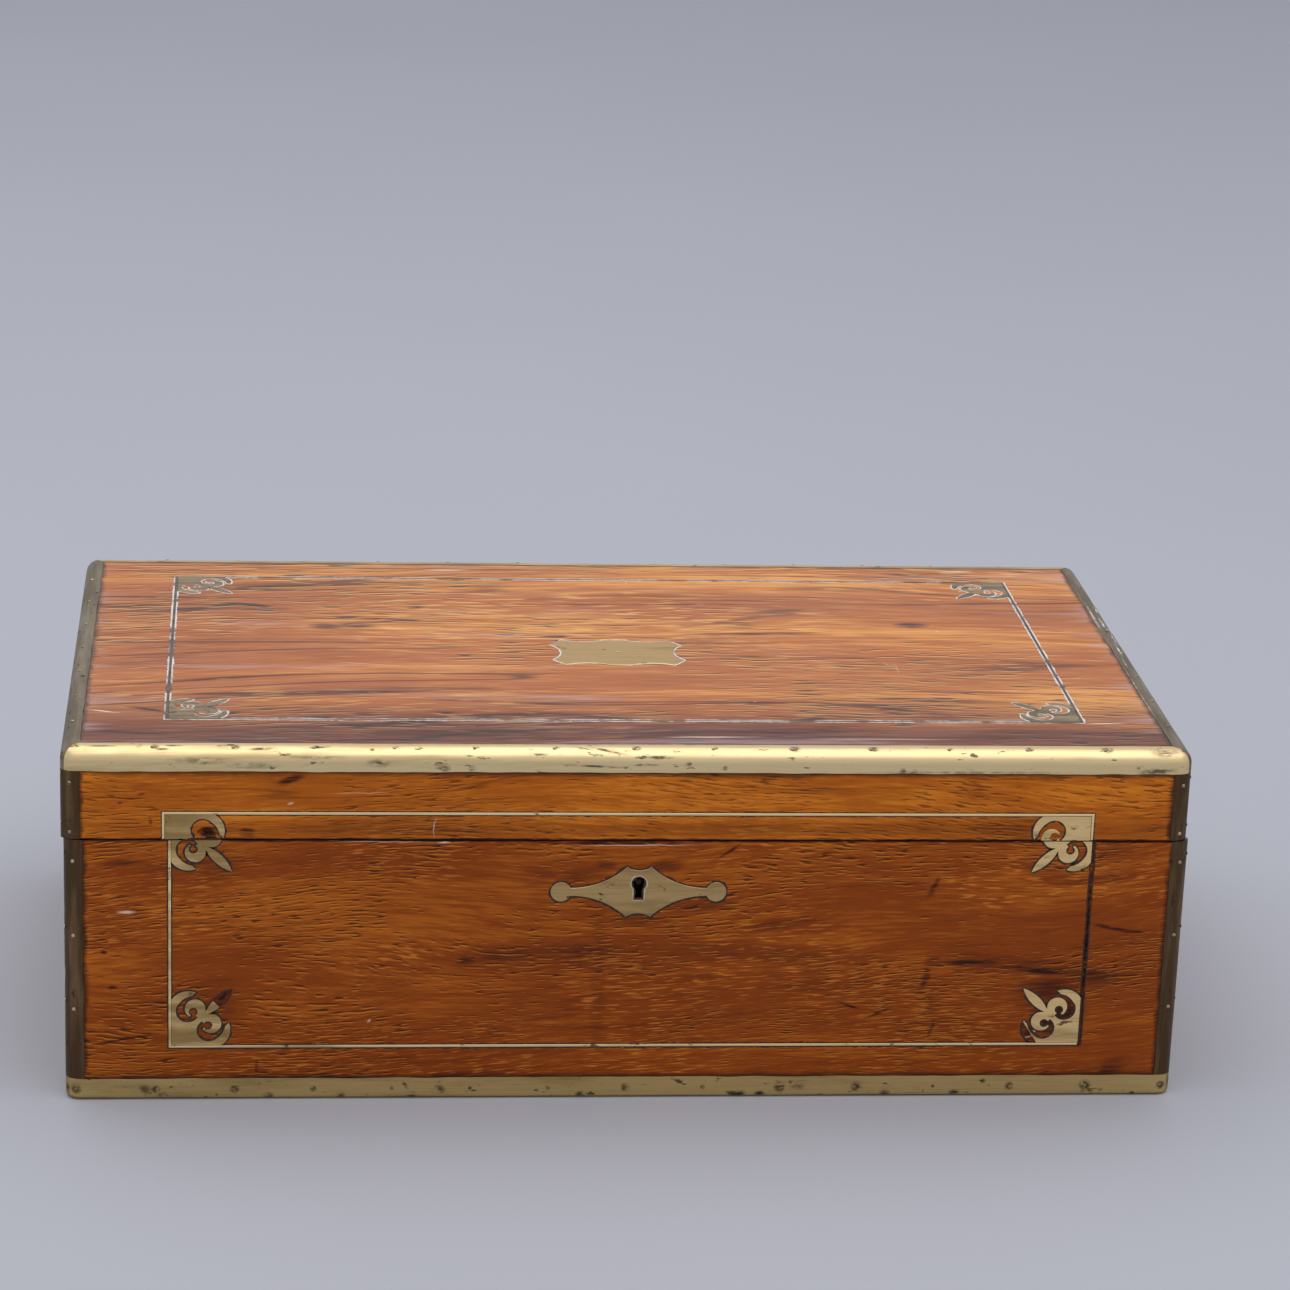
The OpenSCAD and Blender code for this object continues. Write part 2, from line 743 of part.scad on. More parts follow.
module staple_slot() {
    translate([0, staple_y, seam_z(staple_y)]) rotate([-seam_tilt, 0, 0])
        cube([staple_t + 1.2, staple_w + 1.2, 8], center = true);
}
lock_screw_r = 0.9;
lock_screw_head_r = 1.8;
module lock_screw_set(grow) {
    for (x = [-1, 1], z = [lock_low + 4, lock_low + lock_h * 0.75]) {
        translate([lock_x + x * (lock_l / 2 - 3.4), lock_y, z]) rotate([-90, 0, 0])
            screw(lock_screw_r + grow, lock_screw_head_r + grow, lock_d - 0.4 + grow);
    }
}
module lock_screws() {
    color(steel) lock_screw_set(0);
}
bolt_low = finger_z - 10;
bolt_bar_h = 4;
bolt_rest_gap = 0.7;
module bolt_finger(x) {
    tip = x - staple_t / 2 - bolt_rest_gap;
    root = tip - bolt_travel - 0.7;
    box(root - finger, root + eps, -finger / 2, finger / 2, bolt_low, finger_z + finger / 2);
    box(root, tip, -finger / 2, finger / 2, finger_z - finger / 2, finger_z + finger / 2);
}
module lock_bolt() {
    left = -staple_x - staple_t / 2 - bolt_rest_gap - bolt_travel - 0.7 - finger;
    right = staple_x - staple_t / 2 - bolt_rest_gap - bolt_travel - 0.7;
    color(steel) translate([lock_x, finger_y, 0]) {
        box(left, right, -finger / 2, finger / 2, bolt_low, bolt_low + bolt_bar_h);
        bolt_finger(-staple_x);
        bolt_finger(staple_x);
    }
}

// Base hinge pieces
module base_hinge_leaves() {
    color(brass) in_seam() at_hinges() butt_leaf(0);
}
module base_hinge_screws() {
    color(brass) in_seam() at_hinges() butt_screws(0);
}
module hinge_pins() {
    color(brass) in_seam() at_hinges()
        translate([-hinge_l / 2, 0, 0]) rotate([0, 90, 0]) cylinder(r = hinge_pin_r, h = hinge_l);
}

// Fittings inside the base
module upper_floor() {
    color(inner_wood) box(-inner_x, inner_x, -inner_y, divider_y, floor_z - floor_t, floor_z);
}
module cleats() {
    color(inner_wood) {
        box(-inner_x, inner_x, -inner_y, -inner_y + ledge, floor_z - floor_t - ledge, floor_z - floor_t);
        both_sides() box(tray_end - ledge / 2, tray_end, -inner_y, divider_y, tray_z - ledge, tray_z);
    }
}
module well_divider() {
    color(inner_wood) difference() {
        intersection() {
            box(-inner_x, inner_x, divider_y, divider_y + divider_t, divider_z, case_h);
            below_seam(flap_face);
        }
        intersection() {
            box(-case_w, case_w, divider_y + divider_rim, case_d, 0, case_h);
            above_seam(-ledge_face);
        }
    }
}
module ink_partitions() {
    color(inner_wood) both_sides() intersection() {
        box(tray_end, tray_end + partition_t, -inner_y, divider_y, floor_z, case_h);
        below_seam(flap_face);
    }
}
tray_gap = 0.6;
nib_w = 44;
module pen_tray() {
    x = tray_end - tray_gap;
    y0 = -inner_y + tray_gap;
    y1 = divider_y - tray_gap;
    mid = (y0 + y1) / 2;
    color(inner_wood) difference() {
        box(-x, x, y0, y1, tray_z, tray_z + tray_h);
        translate([-x + 8, mid, tray_z + tray_h + 2]) rotate([0, 90, 0])
            cylinder(r = cove_r, h = 2 * x - nib_w - 24);
        box(x - 8 - nib_w, x - 8, y0 + 6, y1 - 6, tray_z + 6, case_h);
    }
}
ink_x = inner_x - ink_w / 2;
ink_y = -inner_y + ink_w / 2;
neck_r = well_r + 3;
neck_h = 3.5;
module inkwell() {
    c = 4;
    h = well_w / 2;
    color(glass) translate([ink_x, ink_y, floor_z]) difference() {
        union() {
            linear_extrude(well_h) polygon([[-h + c, -h], [h - c, -h], [h, -h + c], [h, h - c], [h - c, h],
                                            [-h + c, h], [-h, h - c], [-h, -h + c]]);
            cylinder(r = neck_r, h = well_h + neck_h);
        }
        translate([0, 0, 5]) cylinder(r = well_r, h = well_h + neck_h);
    }
}
module inkwell_left() {
    mirror([1, 0, 0]) inkwell();
}
module inkwell_right() {
    inkwell();
}
module inkwell_caps() {
    color(brass) both_sides() translate([ink_x, ink_y, floor_z + well_h + fit / 2]) difference() {
        union() {
            cylinder(r = neck_r + 2, h = neck_h + 3);
            translate([0, 0, neck_h + 3]) cylinder(r = neck_r * 0.7, h = 1.6);
        }
        translate([0, 0, -eps]) cylinder(r = neck_r + fit, h = neck_h + fit);
    }
}

// Rails, ledges and writing flaps, drawn once below the seam and mirrored for the lid
module hinge_rail(tilt) {
    color(inner_wood) difference() {
        intersection() {
            box(-inner_x, inner_x, -rail_reach, 0, -flap_face - 2 * ledge, -flap_face);
            // In front of the back board's inner face, which the seam meets at this tilt
            rotate([tilt, 0, 0])
                box(-case_w, case_w, -2 * case_d, -hinge_off - wall_t, -case_h, case_h);
        }
        at_flap_hinges() rail_leaf_recess();
    }
}
module at_flap_hinges() {
    for (x = [-1, 1]) translate([x * flap_hinge_x, -flap_pin_y, -flap_pin_z]) children();
}
flap_leaf_top = flap_pin_z - flap_face;
rail_leaf_w = flap_leaf_w - 2;
module rail_leaf_recess() {
    box(-flap_hinge_l / 2 - fit, flap_hinge_l / 2 + fit, 0, rail_leaf_w + fit,
        flap_leaf_top - flap_leaf_t - fit, 2 * flap_leaf_top);
}
module flap_leaf_recess() {
    box(-flap_hinge_l / 2 - fit, flap_hinge_l / 2 + fit, -flap_leaf_w - fit, 0,
        flap_leaf_top - flap_leaf_t - fit, 2 * flap_leaf_top);
}
module flap_leaf(first, y0, y1) {
    difference() {
        union() {
            box(-flap_hinge_l / 2, flap_hinge_l / 2, y0, y1, flap_leaf_top - flap_leaf_t, flap_leaf_top);
            barrel(flap_knuckle_r, flap_hinge_l, 3, first);
        }
        barrel_space(flap_knuckle_r + loose, flap_hinge_l, 3, 1 - first);
        translate([-flap_hinge_l, 0, 0]) rotate([0, 90, 0])
            cylinder(r = flap_pin_r + 0.05, h = 2 * flap_hinge_l);
    }
}
// The two leaves that stay on the rail, with their pins
module rail_leaves() {
    at_flap_hinges() {
        flap_leaf(0, 0, rail_leaf_w);
        translate([-flap_hinge_l / 2, 0, 0]) rotate([0, 90, 0]) cylinder(r = flap_pin_r, h = flap_hinge_l);
    }
}
module flap_leaves() {
    at_flap_hinges() flap_leaf(1, -flap_leaf_w, 0);
}
module flap_board(end) {
    difference() {
        box(-flap_x, flap_x, -end, -flap_edge, -flap_face - flap_t, -flap_face);
        leather_panel(end, fit);
        at_flap_hinges() flap_leaf_recess();
    }
}
module leather_panel(end, grow) {
    near = flap_pin_y + flap_leaf_w + 4;
    box(-flap_x + leather_in - grow, flap_x - leather_in + grow, -end + leather_in - grow, -near + grow,
        -flap_face - leather_t - grow, grow == 0 ? -flap_face : 0);
}
tab_w = 12;
tab_l = 16;
tab_t = 0.4;
module flap_tab(end) {
    translate([-tab_w / 2, -end + 1, -flap_face]) cube([tab_w, tab_l, tab_t]);
}
module side_ledges(end) {
    both_sides() box(inner_x - ledge, inner_x, -end, -flap_edge, -ledge_face - ledge, -ledge_face);
}
module base_flap_ledges() {
    color(inner_wood) in_seam() side_ledges(-along_seam(divider_y + divider_t, -ledge_face - ledge));
}
module base_hinge_rail() {
    in_seam() hinge_rail(seam_tilt);
}
module base_flap_hinges() {
    color(brass) in_seam() rail_leaves();
}
module base_flap() {
    color(wood) in_seam() flap_board(base_flap_end);
}
module base_flap_leather() {
    color(leather) in_seam() leather_panel(base_flap_end, 0);
}
module base_flap_leaves() {
    color(brass) in_seam() flap_leaves();
}
module base_flap_tab() {
    color(leather) in_seam() flap_tab(base_flap_end);
}

// Lid boards
module in_lid() {
    translate([lid_shift, 0, 0]) children();
}
module lid_board(x0, x1, y0, y1) {
    intersection() {
        wood_block();
        box(x0, x1, y0, y1, 0, case_h - top_t - fit / 2);
        above_seam();
    }
}
module lid_top_board() {
    color(wood) in_lid() difference() {
        intersection() {
            wood_block();
            box(-case_w, case_w, -case_d, case_d, case_h - top_t, case_h);
        }
        lid_pin_holes();
        on_top(inlay_t - inlay_proud, 1) frame_pocket(top_frame);
        translate([plate_x - lid_shift, plate_y, 0]) on_top(inlay_t - inlay_proud, 1) cartouche_shape();
    }
}
module lid_front_board() {
    color(wood) difference() {
        in_lid() difference() {
            lid_board(-case_w, case_w, -case_d, -inner_y);
            lid_pin_holes();
            on_front(inlay_t - inlay_proud, 1) frame_pocket(lid_frame);
        }
        link_plate_space();
    }
}
module lid_back_board() {
    color(wood) difference() {
        in_lid() difference() {
            lid_board(-case_w, case_w, inner_y, case_d);
            lid_pin_holes();
        }
        in_lid_seam() at_hinges() butt_recess();
    }
}
module lid_left_board() {
    color(wood) in_lid() difference() {
        lid_board(-case_w, -inner_x, -inner_y + fit / 2, inner_y - fit / 2);
        lid_pin_holes();
    }
}
module lid_right_board() {
    color(wood) in_lid() difference() {
        lid_board(inner_x, case_w, -inner_y + fit / 2, inner_y - fit / 2);
        lid_pin_holes();
    }
}

// Lid brass
module lid_binding(side) {
    color(brass) in_lid() difference() {
        binding_strip(side, case_h - bind_top_h, case_h + 1);
        lid_pin_holes();
    }
}
module lid_binding_front() {
    lid_binding("front");
}
module lid_binding_back() {
    lid_binding("back");
}
module lid_binding_left() {
    lid_binding("left");
}
module lid_binding_right() {
    lid_binding("right");
}
module lid_corner_strips() {
    color(brass) in_lid() difference() {
        intersection() {
            corner_strips();
            above_seam();
        }
        lid_pin_holes();
    }
}
module lid_binding_pins() {
    color(brass) in_lid() pins(lid_pins, bpin_in, bpin_len);
}
module lid_stringing() {
    color(brass) in_lid() {
        intersection() {
            on_front(inlay_t - inlay_proud, inlay_proud) frame_line_of(lid_frame);
            above_seam();
        }
        on_top(inlay_t - inlay_proud, inlay_proud) frame_line_of(top_frame);
    }
}
module lid_front_inlays() {
    color(brass) in_lid() intersection() {
        on_front(inlay_t - inlay_proud, inlay_proud) ornaments_of(lid_frame);
        above_seam();
    }
}
module lid_top_inlays() {
    color(brass) in_lid() on_top(inlay_t - inlay_proud, inlay_proud) ornaments_of(top_frame);
}
module cartouche() {
    color(brass) translate([plate_x, plate_y, 0]) difference() {
        on_top(inlay_t - inlay_proud, inlay_proud) cartouche_shape();
        translate([0, 0, case_h - inlay_t]) cylinder(r = plate_pin_r, h = 2 * inlay_t, $fn = 24);
    }
}

// Lid hinge pieces and the plate that the lock holds
module lid_hinge_leaves() {
    color(brass) in_lid_seam() at_hinges() butt_leaf(1);
}
module lid_hinge_screws() {
    color(brass) in_lid_seam() at_hinges() butt_screws(0);
}
module link_plate_solid(grow, over = 0) {
    intersection() {
        box(lock_x - lock_l / 2 - grow, lock_x + lock_l / 2 + grow, lock_y - lock_d - grow, lock_y,
            0, case_h);
        above_seam(seam_gap / 2 - over);
        below_seam(-seam_gap / 2 - lock_plate_t - grow);
    }
}
module link_plate_space() {
    link_plate_solid(fit, recess_over);
}
module staple() {
    translate([0, staple_y, seam_z(staple_y)]) rotate([-seam_tilt, 0, 0]) difference() {
        box(-staple_t / 2, staple_t / 2, -staple_w / 2, staple_w / 2, -staple_reach, seam_gap / 2 + eps);
        translate([0, 0, -staple_eye]) cube([2 * staple_t, eye, eye], center = true);
    }
}
module link_plate() {
    color(brass) {
        link_plate_solid(0);
        for (x = [-1, 1]) translate([lock_x + x * staple_x, 0, 0]) staple();
    }
}

// Lid rail, ledges and flap
module lid_flap_ledges() {
    end = -along_seam(-inner_y, ledge_face);
    color(inner_wood) in_lid() {
        in_lid_seam() side_ledges(end - ledge);
        intersection() {
            in_lid_seam()
                box(-inner_x, inner_x, -end - ledge, -end + ledge, -ledge_face - ledge, -ledge_face);
            box(-case_w, case_w, -inner_y, case_d, 0, case_h);
        }
    }
}
module lid_hinge_rail() {
    in_lid() in_lid_seam() hinge_rail(-seam_tilt);
}
module lid_flap() {
    color(wood) in_lid() in_lid_seam() flap_board(lid_flap_end);
}
module lid_flap_leather() {
    color(leather) in_lid() in_lid_seam() leather_panel(lid_flap_end, 0);
}
module lid_flap_hinges() {
    color(brass) in_lid() in_lid_seam() rail_leaves();
}
module lid_flap_leaves() {
    color(brass) in_lid() in_lid_seam() flap_leaves();
}
module lid_flap_tab() {
    color(leather) in_lid() in_lid_seam() flap_tab(lid_flap_end);
}

base_bottom_board();
base_front_board();
base_back_board();
base_left_board();
base_right_board();
base_binding_front();
base_binding_back();
base_binding_left();
base_binding_right();
base_corner_strips();
base_binding_pins();
base_front_stringing();
base_corner_inlays();
escutcheon();
lock_case();
lock_screws();
lock_bolt();
base_hinge_leaves();
hinge_pins();
base_hinge_screws();
upper_floor();
cleats();
well_divider();
ink_partitions();
pen_tray();
inkwell_left();
inkwell_right();
inkwell_caps();
base_flap_ledges();
base_hinge_rail();
base_flap_hinges();
base_flap();
base_flap_leather();
base_flap_leaves();
base_flap_tab();
lid_top_board();
lid_front_board();
lid_back_board();
lid_left_board();
lid_right_board();
lid_binding_front();
lid_binding_back();
lid_binding_left();
lid_binding_right();
lid_corner_strips();
lid_binding_pins();
lid_stringing();
lid_front_inlays();
lid_top_inlays();
cartouche();
lid_hinge_leaves();
lid_hinge_screws();
link_plate();
lid_flap_ledges();
lid_hinge_rail();
lid_flap();
lid_flap_leather();
lid_flap_hinges();
lid_flap_leaves();
lid_flap_tab();
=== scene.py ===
import json
import math

import bmesh
import bpy
from mathutils import Matrix, Vector, noise


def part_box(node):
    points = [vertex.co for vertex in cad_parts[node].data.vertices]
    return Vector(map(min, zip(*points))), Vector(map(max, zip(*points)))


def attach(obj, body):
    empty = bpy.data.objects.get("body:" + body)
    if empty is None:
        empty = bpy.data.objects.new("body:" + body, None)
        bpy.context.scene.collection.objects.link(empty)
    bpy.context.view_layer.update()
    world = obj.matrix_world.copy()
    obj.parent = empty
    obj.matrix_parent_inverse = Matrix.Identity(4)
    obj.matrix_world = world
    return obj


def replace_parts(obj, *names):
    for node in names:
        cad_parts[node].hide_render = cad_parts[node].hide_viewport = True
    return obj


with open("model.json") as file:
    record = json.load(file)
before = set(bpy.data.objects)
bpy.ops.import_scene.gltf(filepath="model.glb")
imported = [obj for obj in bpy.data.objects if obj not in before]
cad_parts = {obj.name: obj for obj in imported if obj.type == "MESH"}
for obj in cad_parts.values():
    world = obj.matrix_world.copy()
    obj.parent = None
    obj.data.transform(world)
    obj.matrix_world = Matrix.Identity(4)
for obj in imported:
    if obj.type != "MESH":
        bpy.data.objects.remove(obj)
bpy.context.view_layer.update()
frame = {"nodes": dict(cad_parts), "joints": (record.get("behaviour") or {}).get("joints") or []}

# Camera: a long lens from the front, a little left of the middle and above the lid,
# so that the front and the top show and the sides don't.
camera_place = Vector((-0.16482, -1.80189, 0.75751))
camera_right = Vector((0.99547, -0.08826, 0.03533)).normalized()
camera_ahead = Vector((0.09487, 0.94614, -0.30955)).normalized()
camera_up = camera_right.cross(camera_ahead).normalized()
lens = bpy.data.cameras.new("long_lens")
lens.sensor_width = 36
lens.lens = 112.68
lens.clip_start = 0.05
camera = bpy.data.objects.new("camera", lens)
camera_turn = Matrix((camera_right, camera_up, -camera_ahead)).transposed()
camera.matrix_world = Matrix.Translation(camera_place) @ camera_turn.to_4x4()
bpy.context.scene.collection.objects.link(camera)
bpy.context.scene.camera = camera
bpy.context.scene.view_settings.view_transform = "Standard"


# Floor: one wide pale blue-grey sheet, painted matt, that also makes the backdrop.
# The case stands on it and throws a soft shadow.
def wire(tree, kind, sockets=None, out=0, **settings):
    """Adds a shader node, sets or links its inputs, and gives one output, or all of them."""
    made = tree.nodes.new("ShaderNode" + kind)
    for name, value in settings.items():
        setattr(made, name, value)
    for key, value in (sockets or {}).items():
        if isinstance(value, bpy.types.NodeSocket):
            tree.links.new(value, made.inputs[key])
        else:
            made.inputs[key].default_value = value
    return made.outputs if out is None else made.outputs[out]


def new_material(name):
    """A material without a shader yet; gives the material and its tree."""
    material = bpy.data.materials.new(name)
    material.use_nodes = True
    material.node_tree.nodes.clear()
    return material, material.node_tree


def coat(tree, sockets):
    """Ends a material with one shader."""
    end = tree.nodes.new("ShaderNodeOutputMaterial")
    tree.links.new(wire(tree, "BsdfPrincipled", sockets), end.inputs["Surface"])


def colour(red, green, blue):
    return (red, green, blue, 1.0)


def mesh_object(name, points, faces, material, smooth=True):
    data = bpy.data.meshes.new(name)
    data.from_pydata([tuple(p) for p in points], [], faces)
    data.materials.append(material)
    data.validate()
    made = bpy.data.objects.new(name, data)
    bpy.context.scene.collection.objects.link(made)
    for face in data.polygons:
        face.use_smooth = smooth
    return made


floor_paint, tree = new_material("floor_paint")
mottle = wire(tree, "TexNoise", {"Vector": wire(tree, "TexCoord", out="Object"), "Scale": 1.6, "Detail": 3.0})
paint = wire(tree, "Mix", {0: mottle, 6: colour(0.405, 0.42, 0.47), 7: colour(0.44, 0.455, 0.505)},
             out=2, data_type="RGBA")
coat(tree, {"Base Color": paint, "Roughness": 0.85})
floor_radius, floor_steps = 14.0, 48
floor_turns = [i * 2 * math.pi / floor_steps for i in range(floor_steps)]
floor_ring = [(floor_radius * math.cos(turn), floor_radius * math.sin(turn), 0) for turn in floor_turns]
floor = mesh_object("floor", floor_ring, [tuple(range(floor_steps))], floor_paint, smooth=False)


# Light: one large soft box overhead in a pale blue-grey room.
# The overhead box gives the long highlight on the lid's front edge.
overhead_lamp = bpy.data.lights.new("overhead_box", "AREA")
overhead_lamp.shape = "RECTANGLE"
overhead_lamp.size, overhead_lamp.size_y = 4.2, 2.8
overhead_lamp.energy = 46
overhead_lamp.color = (1.0, 0.985, 0.96)
overhead = bpy.data.objects.new("overhead_box", overhead_lamp)
overhead.location = (-0.1, -0.1, 2.4)
overhead.rotation_euler = (-overhead.location).to_track_quat("-Z", "Y").to_euler()
bpy.context.scene.collection.objects.link(overhead)
room = bpy.data.worlds.new("room")
bpy.context.scene.world = room
room.use_nodes = True
room.node_tree.nodes["Background"].inputs["Color"].default_value = colour(0.60, 0.61, 0.65)
room.node_tree.nodes["Background"].inputs["Strength"].default_value = 1.0


# Boards: solid figured hardwood, warm orange-brown, planed and polished with many coats of shellac.
# They are glued in a box, and age has left streaks, pores, knots, stains, cracks and a dull bloom.
# Painted shade deepens the pores and darkens the wood along the brass, at the seam and towards the lid's
# front;
# painted highlights light the pores' lower lips and the base's rim under the seam.
MM = 0.001
nodes = frame["nodes"]
case_w, case_d, case_h = 500 * MM, 286 * MM, 166 * MM
strip_w, strip_h, joint_gap = 8.5 * MM, 10.3 * MM, 0.1 * MM
lid_shift = Vector((-1.2 * MM, 0, 0))


def shared_effect(name, takes, gives):
    """A shader node group with named sockets; gives the group, what comes in and where it goes out."""
    group = bpy.data.node_groups.new(name, "ShaderNodeTree")
    for label, kind, value in takes:
        made = group.interface.new_socket(name=label, in_out="INPUT", socket_type="NodeSocket" + kind)
        made.default_value = value
    for label, kind in gives:
        group.interface.new_socket(name=label, in_out="OUTPUT", socket_type="NodeSocket" + kind)
    return group, group.nodes.new("NodeGroupInput").outputs, group.nodes.new("NodeGroupOutput").inputs


def use_effect(tree, group, sockets, out=0):
    return wire(tree, "Group", sockets, out, node_tree=group)


def calc(tree, operation, a, b=0.0, clamp=False):
    return wire(tree, "Math", {0: a, 1: b}, operation=operation, use_clamp=clamp)


def times(tree, a, b):
    return calc(tree, "MULTIPLY", a, b)


def minus(tree, a, b):
    return calc(tree, "SUBTRACT", a, b)


def plus(tree, first, *more):
    for term in more:
        first = calc(tree, "ADD", first, term)
    return first


def calc3(tree, operation, a, b, out=0):
    return wire(tree, "VectorMath", {0: a, 1: b}, out=out, operation=operation)


def soft_step(tree, value, low, high, to_low=0.0, to_high=1.0):
    return wire(tree, "MapRange", {0: value, 1: low, 2: high, 3: to_low, 4: to_high},
                interpolation_type="SMOOTHSTEP")


def mix(tree, factor, a, b, how="MIX"):
    return wire(tree, "Mix", {0: factor, 6: a, 7: b}, out=2, data_type="RGBA", blend_type=how)


def grain_noise(tree, place, stretch, detail=2.0, roughness=0.5, shift=(0, 0, 0)):
    """Noise drawn out along the grain: stretch is its cycles per metre along, across and into the board."""
    moved = wire(tree, "VectorMath", {0: place, 1: stretch, 2: shift}, operation="MULTIPLY_ADD")
    return wire(tree, "TexNoise", {"Vector": moved, "Scale": 1.0, "Detail": detail, "Roughness": roughness})


wood_grain, given, result = shared_effect(
    "wood grain",
    [("Place", "Vector", (0, 0, 0)), ("Light", "Color", colour(0.5, 0.15, 0.03)),
     ("Middle", "Color", colour(0.33, 0.08, 0.015)), ("Dark", "Color", colour(0.1, 0.022, 0.008)),
     ("Darkness", "Float", 0.0), ("Pores", "Float", 1.0),
     ("Rings", "Float", 0.4), ("Fleck and glint", "Color", colour(0.75, 0.24, 0.03))],
    [("Color", "Color"), ("Roughness", "Float"), ("Height", "Float")])
g = wood_grain
bend = times(g, minus(g, grain_noise(g, given["Place"], (3.2, 9, 9)), 0.5), 0.045)
bent = calc3(g, "ADD", given["Place"], wire(g, "CombineXYZ", {1: bend}))
bands = grain_noise(g, bent, (4.5, 62, 30), detail=4.0, roughness=0.6)
clouds = grain_noise(g, bent, (9, 20, 20), detail=3.0, shift=(3.1, 7.7, 1.3))
streaks = grain_noise(g, bent, (42, 520, 240), detail=3.0, roughness=0.65, shift=(11, 5, 2))
fibre = grain_noise(g, bent, (90, 1500, 900), shift=(1, 2, 9))
tone = plus(g, times(g, bands, 0.46), times(g, streaks, 0.27), times(g, clouds, 0.33), times(g, fibre, 0.22),
            times(g, given["Darkness"], 0.3))
wood = mix(g, soft_step(g, tone, 0.50, 0.67), given["Light"], given["Middle"])
wood = mix(g, soft_step(g, tone, 0.66, 0.90), wood, given["Dark"])
pore_patch = grain_noise(g, given["Place"], (15, 34, 26), shift=(2, 9, 4))
pore_patch = soft_step(g, pore_patch, 0.36, 0.62, -0.09, 0.065)


def pore_field(lower):
    """Where pores are open, taken that much lower on the board."""
    moved = calc3(g, "ADD", bent, (0, lower, 0))
    field = grain_noise(g, moved, (115, 1200, 560), detail=1.5, shift=(4, 4, 4))
    return soft_step(g, plus(g, field, pore_patch), 0.60, 0.70)


# Painted light in the pores: each pore is dark, partly a real dark pore and partly painted shade on its upper
# wall, and a copy taken a little lower gives its lit lower lip, a painted highlight (the glints).
lit_lip_drop = 0.5 * MM
hollows, lit_lips = pore_field(0), pore_field(lit_lip_drop)
pores = times(g, hollows, given["Pores"])
glints = times(g, calc(g, "SUBTRACT", lit_lips, hollows, clamp=True), given["Pores"])
rings = grain_noise(g, bent, (2.6, 34, 14), detail=3.0, roughness=0.55, shift=(6, 3, 3))
rings = calc(g, "ABSOLUTE", minus(g, calc(g, "FRACT", times(g, rings, 9.0)), 0.5))
rings = times(g, soft_step(g, rings, 0.0, 0.10, 1.0, 0.0), soft_step(g, clouds, 0.35, 0.6))
wood = mix(g, times(g, rings, given["Rings"]), wood, given["Dark"])
# The pore colour is the dark of real pores, deepened by painted shade.
pore_black_and_shade = colour(0.022, 0.007, 0.003)
wood = mix(g, times(g, pores, 0.58), wood, pore_black_and_shade)
fleck_field = grain_noise(g, bent, (100, 1100, 560), detail=1.0, shift=(7, 3, 8))
fleck_patch = soft_step(g, grain_noise(g, given["Place"], (12, 26, 26), shift=(5, 9, 1)), 0.42, 0.62)
flecks_and_glints = times(g, soft_step(g, fleck_field, 0.56, 0.68), fleck_patch)
# The painted highlights on the pores' lower lips are laid in with the real light flecks, in the fleck colour.
flecks_and_glints = calc(g, "MAXIMUM", flecks_and_glints, times(g, glints, 0.7))
wood = mix(g, times(g, flecks_and_glints, 0.62), wood, given["Fleck and glint"])
g.links.new(wood, result["Color"])
g.links.new(soft_step(g, streaks, 0.3, 0.7, 0.30, 0.44), result["Roughness"])
g.links.new(minus(g, times(g, fibre, 0.3), pores), result["Height"])

wood_mark, given, result = shared_effect(
    "wood mark",
    [("Place", "Vector", (0, 0, 0)), ("Centre", "Vector", (0, 0, 0)), ("Half size", "Vector", (1, 1, 1)),
     ("Slope", "Float", 0.0), ("Strength", "Float", 1.0)],
    [("Place and mask", "Vector")])
g = wood_mark
here = wire(g, "SeparateXYZ", {0: given["Place"]}, out=None)
off = wire(g, "SeparateXYZ", {0: calc3(g, "SUBTRACT", given["Place"], given["Centre"])}, out=None)
across = minus(g, off[1], times(g, off[0], given["Slope"]))
flat = calc3(g, "DIVIDE", wire(g, "CombineXYZ", {0: off[0], 1: across}), given["Half size"])
own = soft_step(g, calc3(g, "LENGTH", flat, (0, 0, 0), out=1), 0.15, 1.0, 1.0, 0.0)
own = calc(g, "MAXIMUM", times(g, own, given["Strength"]), here[2])
g.links.new(wire(g, "CombineXYZ", {0: here[0], 1: here[1], 2: own}), result["Place and mask"])

# Painted shade along the brass: a mask that is 1 at the panel's border and fades inwards over a ragged reach
# of up to twice the width.
border_shade, given, result = shared_effect(
    "border shade",
    [("Place", "Vector", (0, 0, 0)), ("Centre", "Vector", (0, 0, 0)), ("Half size", "Vector", (1, 1, 1)),
     ("Width", "Float", 4 * MM)],
    [("Mask", "Float"), ("Distance", "Float")])
g = border_shade
away = calc3(g, "ABSOLUTE", calc3(g, "SUBTRACT", given["Place"], given["Centre"]), (0, 0, 0))
off = wire(g, "SeparateXYZ", {0: calc3(g, "SUBTRACT", given["Half size"], away)}, out=None)
nearest = calc(g, "MINIMUM", off[0], off[1])
shade_wobble = wire(g, "TexNoise", {"Vector": given["Place"], "Scale": 60.0, "Detail": 3.0})
reach = times(g, given["Width"], times(g, shade_wobble, 2.0))
g.links.new(soft_step(g, nearest, 0.0, reach, 1.0, 0.0), result["Mask"])
g.links.new(nearest, result["Distance"])


def marks_on(tree, place, marks):
    """The mask of a row of soft marks. A mark is its centre along and across, its half length and half width,
    its slope and its strength, in millimetres. The mask so far rides in the third part of the place."""
    split = wire(tree, "SeparateXYZ", {0: place}, out=None)
    seen = wire(tree, "CombineXYZ", {0: split[0], 1: split[1]})
    for u, v, half_u, half_v, tilt, strength in marks:
        seen = use_effect(tree, wood_mark, {
            "Place": seen, "Centre": (u * MM, v * MM, 0), "Half size": (half_u * MM, half_v * MM, 1),
            "Slope": tilt, "Strength": strength})
    return wire(tree, "SeparateXYZ", {0: seen}, out=2)


